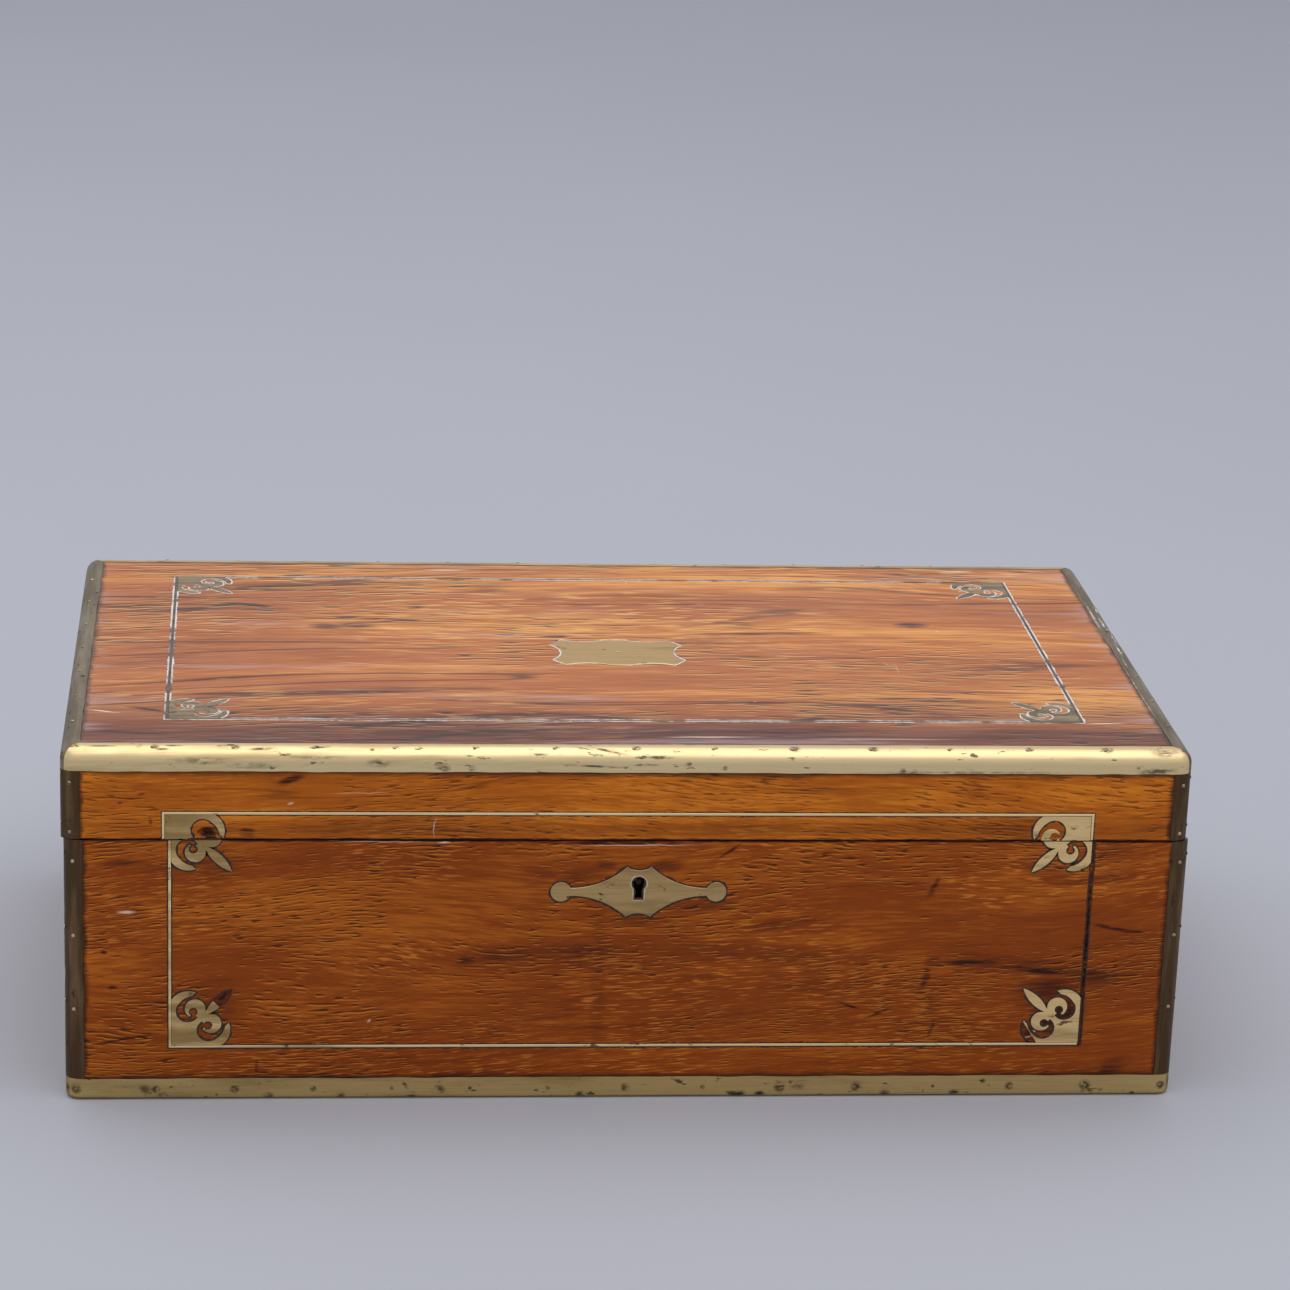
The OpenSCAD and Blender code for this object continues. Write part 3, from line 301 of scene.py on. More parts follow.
def board_place(tree, axes):
    """The place on a board in metres: along its grain, across it and into it, by the letters of axes."""
    xyz = wire(tree, "SeparateXYZ", {0: wire(tree, "TexCoord", out="Object")}, out=None)
    return wire(tree, "CombineXYZ", {k: xyz["XYZ".index(axis)] for k, axis in enumerate(axes)})


border_shade_width = 2.8 * MM
mark_black = colour(0.022, 0.008, 0.005)


def polished_wood(name, axes, tones, marks=(), pale_marks=(), border=None, bloom=None, shadow=None, slope=0.0,
                  gloss=0.30, pores=1.0, rings=0.4, fleck_and_glint=colour(0.75, 0.24, 0.03), shine=0.3,
                  spread=(1.0, 1.0)):
    """Shellacked wood. border is the panel's centre and half size inside the brass, along which painted shade
    darkens the wood; bloom the reach and strength of the dull haze along it, and shadow the reach and colour
    of the painted shadow towards the front. spread is how many times the grain is drawn out along and across
    the board."""
    material, tree = new_material(name)
    place = board_place(tree, axes)
    wobble = wire(tree, "TexNoise", {"Vector": place, "Scale": 160.0, "Detail": 3.0}, out=1)
    wobble = calc3(tree, "SUBTRACT", wobble, (0.5, 0.5, 0.5))
    ragged = calc3(tree, "ADD", place, calc3(tree, "MULTIPLY", wobble, (4 * MM, 1.1 * MM, 0.0)))
    sloped = wire(tree, "VectorRotate", {"Vector": place, "Angle": slope}, rotation_type="Z_AXIS")
    sloped = calc3(tree, "MULTIPLY", sloped, (1 / spread[0], 1 / spread[1], 1.0))
    dark_mark = 0.0
    if marks:
        broken = grain_noise(tree, sloped, (45, 800, 300), detail=3.0, roughness=0.6, shift=(3, 1, 7))
        broken = soft_step(tree, broken, 0.3, 0.62, 0.4, 1.0)
        dark_mark = times(tree, marks_on(tree, ragged, marks), broken)
    grain = use_effect(tree, wood_grain, {
        "Place": sloped, "Light": tones[0], "Middle": tones[1], "Dark": tones[2], "Darkness": dark_mark,
        "Pores": pores, "Rings": rings, "Fleck and glint": fleck_and_glint}, out=None)
    shade, rough, height = grain["Color"], grain["Roughness"], grain["Height"]
    if border:
        centre, half = border
        edge = use_effect(tree, border_shade, {
            "Place": ragged, "Centre": (centre[0] * MM, centre[1] * MM, 0),
            "Half size": (half[0] * MM, half[1] * MM, 1), "Width": border_shade_width}, out=None)
    if shadow:
        cloudy = grain_noise(tree, place, (7, 30, 30), detail=3.0, shift=(4, 4, 1))
        ragged_reach = times(tree, minus(tree, cloudy, 0.5), -shadow[0] * MM)
        front = (centre[1] - half[1]) * MM
        ahead = minus(tree, wire(tree, "SeparateXYZ", {0: place}, out=1), front)
        depth = soft_step(tree, plus(tree, ahead, ragged_reach), 0.0, shadow[0] * MM, 1.0, 0.0)
        shade = mix(tree, depth, shade, shadow[1], "MULTIPLY")
    if marks:
        shade = mix(tree, times(tree, dark_mark, 0.9), shade, mark_black)
        height = minus(tree, height, times(tree, dark_mark, 1.2))
    if bloom:
        misty = grain_noise(tree, sloped, (11, 150, 60), detail=5.0, roughness=0.7, shift=(2, 6, 4))
        veil = times(tree, soft_step(tree, edge["Distance"], 0.0, bloom[0] * MM, 1.0, 0.0), 0.09)
        veil = times(tree, soft_step(tree, plus(tree, misty, veil), 0.57, 0.72), bloom[1])
        shade = mix(tree, veil, shade, colour(0.55, 0.43, 0.45))
        rough = plus(tree, rough, times(tree, veil, 0.4))
    # Pale marks are scratches and crumbs of polish; on the base's front one is a painted highlight on the rim
    # under the seam.
    if pale_marks:
        scratches_and_highlights = marks_on(tree, ragged, pale_marks)
        shade = mix(tree, scratches_and_highlights, shade, colour(0.78, 0.62, 0.50))
        height = minus(tree, height, scratches_and_highlights)
    # Painted shade: the wood is darkened towards black along the brass round the panel.
    if border:
        shade = mix(tree, times(tree, edge["Mask"], 0.8), shade, colour(0.02, 0.008, 0.005))
    rough = plus(tree, rough, gloss - 0.30)
    normal = wire(tree, "Bump", {"Strength": 0.5 / spread[1], "Distance": 0.22 * MM, "Height": height})
    coat(tree, {"Base Color": shade, "Roughness": rough, "Normal": normal, "Specular IOR Level": shine})
    return material


def dress(material, *names):
    """Gives the material to pieces that are shown just as they were built."""
    for name in names:
        data = nodes[name].data
        data.materials.clear()
        data.materials.append(material)


amber = colour(0.47, 0.122, 0.009)
russet = colour(0.27, 0.052, 0.004)
umber = colour(0.075, 0.015, 0.005)
warm_tones = (amber, russet, umber)
wall_middle, wall_half = case_h / 2 / MM, (case_h / 2 - strip_h - joint_gap) / MM
long_half, short_half = (case_w / 2 - strip_w) / MM, (case_d / 2 - strip_w) / MM
lid_middle = lid_shift.x / MM
# Painted light on the base's front: the dark mark under the middle of the seam, where it gapes, and the
# full-width dark line just under the seam are painted shade of the gap; the pale line at 121.7 mm is a
# painted highlight on the base's rim.
base_front_wood = polished_wood(
    "base_front_wood", "XZY", warm_tones, slope=-0.045, shine=0.12, rings=0.3, pores=1.25,
    marks=[(135, 102, 3.4, 4.6, 1.5, 0.62), (133.5, 57.5, 2.6, 4.6, 1.2, 0.6),
           (137.5, 33, 2.6, 4.4, 1.5, 0.6), (136.5, 46, 6, 9, 0, 0.2), (156, 65.2, 22, 2.5, -0.02, 0.95),
           (184, 61.8, 26, 2.6, -0.11, 0.95), (170, 65, 46, 7, -0.07, 0.33),
           (210, 60, 18, 2.6, -0.05, 0.55), (137, 66, 6, 4, 0, 0.45), (223, 81, 14, 1.3, -0.14, 0.75),
           (213, 83, 6, 1.4, -0.3, 0.7), (43, 119, 6.5, 1.1, 0.75, 0.85), (-14, 62, 5, 62, 0, 0.16),
           (-73, 67, 6, 4, 0.1, 0.55), (-40, 71, 60, 6, 0.05, 0.30), (60, 70, 70, 7, -0.04, 0.22),
           (99, 45, 8, 1, -0.3, 0.8), (113, 41, 9, 1.1, 0.45, 0.75), (-223, 29.5, 19, 0.8, 0.20, 1),
           (-225, 97, 5, 1, 0.1, 0.75), (-232, 71, 2.2, 1.2, 0, 0.95), (-229, 54, 3, 1.2, 0, 0.8),
           (-225, 113, 14, 2.2, 0.12, 0.5), (-40, 109, 14, 4, -0.15, 0.3), (65, 84, 26, 3.5, 0.1, 0.5),
           (205, 60, 22, 7, -0.15, 0.35), (221, 13, 12, 7, 0.45, 0.45), (190, 48, 20, 17, 0, 0.42),
           (-179.8, 49.8, 4.6, 2.7, 1, 1), (215, 118, 18, 3, 0.1, 0.35), (3, 111, 26, 3, 0, 0.25),
           (-165, 15, 1.6, 8, 0, 0.4), (205.9, 78, 1.3, 60, 0, 1), (-184, 44, 20, 20, 0, 0.22),
           (194, 39, 17, 14, 0, 0.95), (183, 31.5, 5, 5.5, 0, 0.8), (-186, 112, 17, 16, 0, 0.25),
           (188, 112, 17, 16, 0, 0.2), (-22, 108, 17, 4.5, 0.1, 0.4), (30, 93, 20, 5, 0.1, 0.35),
           (3, 86, 20, 3.5, 0, 0.35), (-6, 123.1, 50, 1.7, 0, 1), (14, 112, 12, 4, 0, 0.5),
           (-12, 112, 7, 3, 0, 0.4), (206, 105, 30, 3, 0.1, 0.35), (0, 123.7, 900, 0.9, 0, 1)],
    pale_marks=[(-223, 90, 5.5, 1.1, -0.02, 0.85), (185, 32.3, 1.2, 1.1, 0, 0.85),
                (182.6, 28.6, 2.6, 0.7, 0.3, 0.6), (-116, 38, 1.1, 0.9, 0.8, 0.6),
                (-84, 122.9, 4.5, 0.55, 0, 0.9), (2, 121.7, 34, 0.35, 0, 0.7),
                (-110, 123.2, 30, 0.3, 0, 0.5)],
    border=((0, wall_middle), (long_half, wall_half)))
dress(base_front_wood, "base_front_board")
lid_front_tones = (colour(0.74, 0.225, 0.016), colour(0.47, 0.115, 0.007), umber)
# The full-width dark line just over the seam, at 124.3 mm, is painted shade of the gap between lid and base.
lid_front_wood = polished_wood(
    "lid_front_wood", "XZY", lid_front_tones, slope=0.012, shine=0.12, rings=0.5,
    marks=[(-151, 152, 9, 2.6, 0.3, 0.55), (-225, 141, 1.6, 1, 0, 0.7), (-216, 145, 3, 1, 0.2, 0.5),
           (-212, 132, 1.6, 3.2, -0.4, 0.5), (185, 134, 30, 1.6, 0.05, 0.35),
           (80, 147, 60, 2.5, -0.02, 0.18), (0, 124.3, 900, 0.8, 0, 1), (-170, 127.5, 7, 3.4, 0, 0.85),
           (-187, 127.5, 6.5, 4.4, 0, 1), (0, 129, 500, 6, 0, 0.33), (-60, 132, 80, 3, 0, 0.16)],
    pale_marks=[(-88, 130, 0.55, 5.6, 2.4, 0.5), (-151, 141, 1.8, 0.9, 0.2, 0.6),
                (-120, 146, 16, 0.35, 0.03, 0.4)],
    border=((lid_middle, wall_middle), (long_half, wall_half)))
dress(lid_front_wood, "lid_front_board")
top_tones = (colour(0.73, 0.30, 0.052), colour(0.42, 0.118, 0.020), colour(0.075, 0.018, 0.009))
# The last mark, a wide dark band along the front edge, adds to the painted shadow towards the front.
lid_top_wood = polished_wood(
    "lid_top_wood", "XYZ", top_tones, slope=-0.02, spread=(2.2, 2.3), pores=1.3, gloss=0.34, shine=0.42,
    rings=1.0, fleck_and_glint=colour(0.90, 0.48, 0.13), bloom=(22, 0.36), shadow=(85, colour(0.42, 0.33, 0.50)),
    marks=[(-134, 32, 10, 5.6, -0.08, 1), (-133, 32, 7, 4.6, 0, 1), (149, 40, 10, 5.4, 0, 0.95),
           (149, 40, 7, 4.2, 0, 1), (-172, 66, 17, 3, -0.22, 0.9), (-165, 59, 22, 3, 0.05, 0.6),
           (-67, 54.6, 2.2, 1.6, 0, 0.7), (68, 25, 45, 2.8, 0.07, 0.75),
           (-219, -121.6, 28, 1.6, -0.149, 1), (-170, -126.3, 28, 1.5, -0.044, 1),
           (-60, -131, 70, 1.2, -0.02, 0.8), (-215, -89.5, 13, 2.6, -0.4, 0.95),
           (90, -131, 120, 0.9, 0, 0.35), (-100, -60, 80, 7, 0.03, 0.3), (20, 70, 150, 1.6, 0.02, 0.35),
           (60, 84, 170, 1.3, -0.01, 0.35), (-30, -20, 90, 2, 0, 0.25), (150, -60, 60, 3, -0.04, 0.3),
           (-60, 126, 110, 1.6, 0, 0.5), (120, 119, 100, 1.5, 0, 0.4), (0, -119, 900, 15, 0, 0.36)],
    pale_marks=[(-117, -23.5, 24, 0.45, -0.2, 0.55), (-100, 29.5, 26, 0.4, -0.01, 0.5),
                (132, -26, 0.6, 11, -3.2, 0.3), (129, -22, 5, 0.7, -2.3, 0.6),
                (-72.7, 125, 15, 1.9, 0.03, 0.75), (184.5, 128.5, 13, 2, 0.03, 0.75),
                (16, 105.5, 0.8, 1, 0, 0.9), (-234, -92.4, 9.5, 1.1, -0.31, 0.95),
                (33, -124, 28, 1, 0.01, 0.8), (110, -126, 50, 0.9, 0, 0.55),
                (216.5, -103.4, 13, 1, 0.07, 0.9), (-40, -105, 30, 0.6, 0.02, 0.35),
                (182, 96, 0.9, 1, 0, 0.8), (160, 30, 0.8, 1, 0, 0.7), (60, -75, 0.8, 0.9, 0, 0.6),
                (205, 40, 20, 1.2, -0.1, 0.25)],
    border=((lid_middle, 0), (long_half, short_half)))
dress(lid_top_wood, "lid_top_board")
back_wood = polished_wood(
    "back_wood", "XZY", warm_tones, slope=0.03,
    marks=[(-60, 90, 60, 5, 0.03, 0.3), (120, 50, 12, 4, 0.1, 0.7), (-180, 120, 9, 3, 0, 0.7),
           (40, 130, 120, 1.4, 0, 0.4), (-110, 30, 16, 0.9, 0.3, 0.9)],
    pale_marks=[(60, 62, 20, 0.5, 0.2, 0.5), (-150, 70, 3, 1.4, 0, 0.5)],
    border=((0, wall_middle), (long_half, wall_half)))
dress(back_wood, "base_back_board", "lid_back_board")
side_wood = polished_wood(
    "side_wood", "YZX", warm_tones, slope=0.05,
    marks=[(-20, 70, 40, 4, 0.06, 0.4), (70, 40, 8, 3, 0.1, 0.8), (-70, 110, 14, 1, 0.25, 0.85),
           (10, 140, 60, 1.5, 0, 0.35)],
    pale_marks=[(30, 95, 14, 0.5, -0.2, 0.5), (-80, 45, 2.5, 1.2, 0, 0.6)],
    border=((0, wall_middle), (short_half, wall_half)))
dress(side_wood, "base_left_board", "base_right_board", "lid_left_board", "lid_right_board")
bottom_tones = (russet, colour(0.15, 0.035, 0.008), umber)
bottom_wood = polished_wood("bottom_wood", "XYZ", bottom_tones, gloss=0.5)
dress(bottom_wood, "base_bottom_board")


# Brass binding: strips of sheet brass bent over every edge of the case, mitred at the corners and pinned.
# They are rubbed bright on the lid's front edge, brown and pitted elsewhere, and torn at the lid's right.
edge_r, foot_r, sheet_t = 6.5 * MM, 2.5 * MM, 1.3 * MM
pin_pitch = 35 * MM
seam_front, seam_gap = 124 * MM, 0.5 * MM
hinge_line = Vector(next(j for j in frame["joints"] if j["name"] == "lid_hinge")["pos_m"])
seam_slope = (seam_front - hinge_line.z) / (hinge_line.y + case_d / 2)


def seam_height(y):
    return hinge_line.z + (hinge_line.y - y) * seam_slope


def on_plan(x, y, depth):
    """A point of the case's square plan, moved onto the round-cornered plan and inwards by depth."""
    corner = max(edge_r, depth)
    core_x = max(-case_w / 2 + corner, min(case_w / 2 - corner, x))
    core_y = max(-case_d / 2 + corner, min(case_d / 2 - corner, y))
    out = Vector((x - core_x, y - core_y))
    if out.length < 1e-9:
        return Vector((core_x, core_y))
    return Vector((core_x, core_y)) + out.normalized() * (corner - depth)


def round_edge(over, up, radius, depth):
    """A point of a square edge, over its flat or up its wall, on the rounded edge and down in the metal."""
    core = Vector((max(over, radius), max(up, radius)))
    out = (Vector((over, up)) - core).normalized()
    return core + out * (radius - depth)


worn_down, slow_dent, quick_dent, nick_dent, nick_from = 0.085, 0.06, 0.025, 0.8, 0.42


def hand_wear(x, y, z, seed):
    """Depth of the shallow dents and waves in a strip at a point, in metres."""
    point = Vector((x, y, z))
    slow = noise.noise(point * 38 + Vector((seed, 0, 0)))
    quick = noise.noise(point * 150 + Vector((0, seed, 0)))
    nick = max(0.0, noise.noise(point * 95 + Vector((seed, seed, 0))) - nick_from)
    return (worn_down + slow_dent * slow + quick_dent * quick + nick_dent * nick) * MM


def closed_sheet(name, rows, body, material, sharp=50):
    """A closed thin sheet. Each row holds pairs of points, one on its outer face and one on its inner."""
    high, wide = len(rows), len(rows[0])
    points = [pair[face] for face in (0, 1) for row in rows for pair in row]
    faces = []
    for i in range(high - 1):
        for j in range(wide - 1):
            a = i * wide + j
            quad = (a, a + 1, a + wide + 1, a + wide)
            faces.append(quad)
            faces.append(tuple(high * wide + k for k in reversed(quad)))
    rim = ([(0, j) for j in range(wide)] + [(i, wide - 1) for i in range(1, high)]
           + [(high - 1, j) for j in range(wide - 2, -1, -1)] + [(i, 0) for i in range(high - 2, 0, -1)])
    for (i, j), (next_i, next_j) in zip(rim, rim[1:] + rim[:1]):
        a, b = i * wide + j, next_i * wide + next_j
        faces.append((b, a, a + high * wide, b + high * wide))
    made = mesh_object(name, points, faces, material)
    shape = bmesh.new()
    shape.from_mesh(made.data)
    bmesh.ops.recalc_face_normals(shape, faces=shape.faces[:])
    shape.to_mesh(made.data)
    shape.free()
    made.data.set_sharp_from_angle(angle=math.radians(sharp))
    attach(made, body)
    return made


bend_angles = (0, 9, 18, 27, 36)
edge_row, edge_near, thinnest, mitre_gap = 0.4 * MM, 0.1 * MM, 0.4 * MM, 0.06 * MM
ragged_edge, ragged_post = 0.3 * MM, 0.25 * MM
fine_step, wide_step, fine_count = 1.3 * MM, 3.4 * MM, 9
post_steps = {"base": 30, "lid": 14}


def bend_places(radius):
    """Where the points of a bend stand on the flats that meet in it."""
    return [radius * (1 - math.tan(math.radians(angle))) for angle in bend_angles]


def shift_of(body):
    return lid_shift if body == "lid" else Vector()


def height_of(body, height):
    """The height of a strip's point, taken down from the top on the lid."""
    return case_h - height if body == "lid" else height


def edge_strip(name, side, body, material, seed, tear=None):
    """One strip along the bottom or the top of a wall, bent over the edge and mitred at both ends."""
    along_x = side in ("front", "back")
    half_l, half_w = (case_w / 2, case_d / 2) if along_x else (case_d / 2, case_w / 2)
    turn = Matrix.Rotation({"front": 0, "right": 1, "back": 2, "left": -1}[side] * math.pi / 2, 3, "Z")
    radius = edge_r if body == "lid" else foot_r
    bend = bend_places(radius)
    flat = sorted({strip_w, strip_w - edge_row, edge_r, *bend}, reverse=True)
    wall = sorted({strip_h, strip_h - edge_row, edge_r, *bend})
    section = [(d, 0.0) for d in flat] + [(0.0, 0.0)] + [(0.0, d) for d in wall]
    near_end = [k * fine_step for k in range(fine_count)]
    count = round((half_l - near_end[-1]) * 2 / wide_step)
    step = 2 * (half_l - near_end[-1]) / count
    stations = [-half_l + e for e in near_end[:-1]]
    stations += [-half_l + near_end[-1] + k * step for k in range(count + 1)]
    stations += [half_l - e for e in reversed(near_end[:-1])]
    rows = []
    for over, up in section:
        row = []
        for s in stations:
            ragged = ragged_edge * noise.noise(Vector((s * 90, over * 50, seed + up * 50)))
            reach = over + (ragged if over > strip_w - edge_near else 0)
            rise = up + (ragged if up > strip_h - edge_near else 0)
            dent = hand_wear(s, over, up, seed)
            dent += tear(turn @ Vector((s, -half_w, 0)), over, up) if tear else 0.0
            pair = []
            for depth in (dent, max(sheet_t, dent + thinnest)):
                inset, height = round_edge(reach, rise, radius, depth)
                scaled = s * (half_l - inset - mitre_gap) / half_l
                square = turn @ Vector((scaled, -half_w + inset, 0))
                place = on_plan(square.x, square.y, inset)
                pair.append(Vector((*place, height_of(body, height))) + shift_of(body))
            row.append(pair)
        rows.append(row)
    made = closed_sheet(name, rows, body, material)
    return made


def corner_post(name, side_x, side_y, body, material, seed):
    """One upright strip round a corner, cut along the seam."""
    low, high = strip_h + joint_gap, case_h - strip_h - joint_gap
    bend = bend_places(edge_r)
    section = ([(strip_w, 0.0), (strip_w - edge_row, 0.0)] + [(d, 0.0) for d in bend] + [(0.0, 0.0)]
               + [(0.0, d) for d in reversed(bend)] + [(0.0, strip_w - edge_row), (0.0, strip_w)])
    rows = []
    for over, back in section:
        row = []
        for k in range(post_steps[body] + 1):
            x, y = side_x * (case_w / 2 - over), side_y * (case_d / 2 - back)
            seam = seam_height(y)
            start, end = (low, seam - seam_gap / 2) if body == "base" else (seam + seam_gap / 2, high)
            z = start + (end - start) * k / post_steps[body]
            ragged = ragged_post * noise.noise(Vector((z * 110, over * 60 + back * 60, seed)))
            x -= side_x * (ragged if over > strip_w - edge_near else 0)
            y -= side_y * (ragged if back > strip_w - edge_near else 0)
            row.append([Vector((*on_plan(x, y, depth), z)) + shift_of(body)
                        for depth in (hand_wear(x, y, z, seed), sheet_t)])
        rows.append(row)
    made = closed_sheet(name, rows, body, material)
    return made


aged_brass, given, result = shared_effect(
    "aged brass",
    [("Place", "Vector", (0, 0, 0)), ("Bright", "Color", colour(0.85, 0.68, 0.34)),
     ("Dull", "Color", colour(0.42, 0.31, 0.13)), ("Stain", "Color", colour(0.10, 0.075, 0.045)),
     ("Tarnish", "Float", 0.5), ("Spots", "Float", 0.5)],
    [("Color", "Color"), ("Roughness", "Float"), ("Height", "Float")])
g = aged_brass
patches = grain_noise(g, given["Place"], (16, 120, 120), detail=5.0, roughness=0.62)
rubbed = grain_noise(g, given["Place"], (35, 1500, 1500), detail=3.0, roughness=0.6, shift=(5, 2, 2))
dull = soft_step(g, plus(g, patches, minus(g, given["Tarnish"], 0.5)), 0.38, 0.68)
metal = mix(g, dull, given["Bright"], given["Dull"])
metal = mix(g, times(g, soft_step(g, rubbed, 0.45, 0.8), 0.3), metal, given["Dull"], "MULTIPLY")
spot_field = grain_noise(g, given["Place"], (110, 210, 210), detail=3.0, roughness=0.6, shift=(9, 1, 3))
spots = soft_step(g, plus(g, spot_field, times(g, given["Spots"], 0.16)), 0.70, 0.78)
pits = soft_step(g, grain_noise(g, given["Place"], (900, 1100, 1100), shift=(2, 8, 5)), 0.68, 0.8)
spots = calc(g, "MAXIMUM", spots, times(g, pits, times(g, given["Spots"], 0.8)))
metal = mix(g, times(g, spots, 0.85), metal, given["Stain"])
g.links.new(metal, result["Color"])
rough = plus(g, times(g, spots, 0.25), plus(g, times(g, rubbed, 0.12), times(g, dull, 0.12)))
g.links.new(rough, result["Roughness"])
g.links.new(minus(g, times(g, rubbed, 0.18), times(g, spots, 0.8)), result["Height"])

pin_stain, given, result = shared_effect(
    "pin stain",
    [("Along", "Float", 0.0), ("Across", "Float", 0.0), ("Pitch", "Float", pin_pitch),
     ("Radius", "Float", 3.1 * MM)],
    [("Mask", "Float")])
g = pin_stain
number = calc(g, "ROUND", calc(g, "DIVIDE", given["Along"], given["Pitch"]))
nearest = minus(g, given["Along"], times(g, number, given["Pitch"]))
away = calc3(g, "LENGTH", wire(g, "CombineXYZ", {0: nearest, 1: given["Across"]}), (0, 0, 0), out=1)
own_size = wire(g, "TexWhiteNoise", {"W": number}, noise_dimensions="1D")
reach = times(g, given["Radius"], plus(g, times(g, own_size, 0.9), 0.35))
g.links.new(soft_step(g, away, times(g, reach, 0.4), reach, 1.0, 0.0), result["Mask"])


def old_brass(name, axes, tarnish, spots, roughness=0.30, bright=colour(0.84, 0.64, 0.32),
              dull=colour(0.50, 0.35, 0.14), stain=colour(0.07, 0.05, 0.03), pins=None, patches=(),
              metallic=1.0, unrolled=False, fade=0.0):
    """Brass sheet; pins is the line of the pins across the strip, in metres, and patches are its stains.
    unrolled measures across the lid's front strip from its edge, up over the top and down the wall.
    fade is how much the tarnish grows for each metre along."""
    material, tree = new_material(name)
    place = board_place(tree, axes)
    if unrolled:
        xyz = wire(tree, "SeparateXYZ", {0: place}, out=None)
        around = plus(tree, xyz[1], xyz[2], case_d / 2 - case_h)
        place = wire(tree, "CombineXYZ", {0: xyz[0], 1: around, 2: xyz[2]})
    if fade:
        along = wire(tree, "SeparateXYZ", {0: place})
        tarnish = plus(tree, times(tree, along, fade), tarnish)
    metal = use_effect(tree, aged_brass, {"Place": place, "Bright": bright, "Dull": dull, "Stain": stain,
                                          "Tarnish": tarnish, "Spots": spots}, out=None)
    shade, rough, height = metal["Color"], metal["Roughness"], metal["Height"]
    if pins is not None:
        split = wire(tree, "SeparateXYZ", {0: place}, out=None)
        across = minus(tree, split[1], pins)
        ring = use_effect(tree, pin_stain, {"Along": split[0], "Across": across})
        crumbly = soft_step(tree, grain_noise(tree, place, (500, 700, 700)), 0.25, 0.6)
        ring = times(tree, ring, crumbly)
        shade = mix(tree, times(tree, ring, 0.85), shade, stain)
        rough = plus(tree, rough, times(tree, ring, 0.2))
    if patches:
        crumbs = soft_step(tree, grain_noise(tree, place, (260, 500, 500), detail=3.0), 0.3, 0.6)
        crumbled = times(tree, marks_on(tree, place, patches), crumbs)
        shade = mix(tree, crumbled, shade, stain)
        rough = plus(tree, rough, times(tree, crumbled, 0.15))
    rough = plus(tree, rough, roughness - 0.12)
    normal = wire(tree, "Bump", {"Strength": 0.5, "Distance": 0.2 * MM, "Height": height})
    coat(tree, {"Base Color": shade, "Metallic": metallic, "Roughness": rough, "Normal": normal})
    return material


lid_front_brass = old_brass(
    "lid_front_brass", "XYZ", 0.36, 0.42, roughness=0.46, bright=colour(0.85, 0.665, 0.365),
    dull=colour(0.62, 0.445, 0.20), stain=colour(0.13, 0.10, 0.072), pins=strip_w / 2, unrolled=True,
    fade=-0.35,
    patches=[(-233, 4.5, 10, 1.3, 0, 0.8), (-217, 5, 2, 3, 0, 0.8), (-207, 2, 4.5, 1.6, 0, 0.9),
             (-202, 5, 6, 1.3, 0, 0.9), (-181, 5, 4, 1.8, 0, 0.9), (-164, 2.5, 8.5, 1.9, 0.1, 1),
             (-139, 4, 7.5, 1.7, 0.15, 1), (-116, 2, 1.8, 1.8, 0, 0.9), (-190, -5, 18, 2.8, 0, 0.6),
             (-168, -7.5, 16, 2.2, 0, 0.6), (-140, -3, 18, 1.7, 0, 0.55), (-113, -6, 7, 3, 0, 0.75),
             (-85, -8.5, 4.5, 2.5, 0, 0.9), (-43, -1, 6, 1.5, 0, 0.8), (-13, 2, 11, 1.7, -0.35, 1),
             (-24, 4, 7, 1, -0.35, 0.9), (10, -2.5, 8.5, 1.8, 0, 1), (-19, -7.2, 18, 0.8, -0.05, 1),
             (4, -6.6, 8, 0.9, 0, 1), (-72, -8.5, 2.8, 2, 0, 1), (23, -6, 2.2, 1.4, 0, 0.9),
             (39, -8, 1.8, 1.6, 0, 0.9), (118, -9.3, 2.4, 1.8, 0, 1), (232, -9, 12, 2.4, 0.05, 0.95),
             (236, 2, 9, 5, 0, 0.8), (150, -9.6, 60, 0.8, 0, 0.6), (-60, 7.8, 160, 0.7, 0, 0.5)])
brown_tones = {"bright": colour(0.34, 0.27, 0.18), "dull": colour(0.20, 0.155, 0.10)}
lid_dark_brass = old_brass("lid_dark_brass", "YXZ", 0.58, 0.4, roughness=0.42, **brown_tones)
torn_brass = old_brass(
    "torn_brass", "YXZ", 0.58, 0.0, roughness=0.42, stain=colour(0.95, 0.92, 0.86), **brown_tones,
    patches=[(68, 245.6, 10, 0.9, 0.02, 1), (47, 244.6, 11, 1.3, -0.06, 1), (24, 245.4, 12, 0.8, 0.05, 1),
             (4, 243.8, 14, 0.8, 0.02, 1), (-16, 242.6, 9, 0.6, 0, 0.8), (55, 241.6, 26, 0.7, 0, 0.8),
             (-60, 240.6, 50, 0.5, 0, 0.7)])
back_brass = old_brass("back_brass", "XZY", 0.55, 0.5, roughness=0.36)
foot_brass = old_brass(
    "foot_brass", "XZY", 0.42, 0.5, roughness=0.40, bright=colour(0.64, 0.455, 0.19),
    dull=colour(0.40, 0.28, 0.11), stain=colour(0.05, 0.038, 0.022), pins=strip_h / 2, fade=-0.35,
    patches=[(x, 1.9, 3.6, 2.2, 0, 1.0) for x in (-207, -160, -128, -96, -20, 52, 61, 118, 150)]
    + [(-215, 4.8, 4.5, 3.6, 0, 0.8), (-84, 4.4, 4.2, 3.4, 0, 0.9), (-99, 6.5, 2.0, 2.2, -0.8, 0.9),
       (163, 7.6, 1.8, 1.8, 0, 1.0), (78, 5.0, 5.0, 3.0, 0.2, 0.6)])
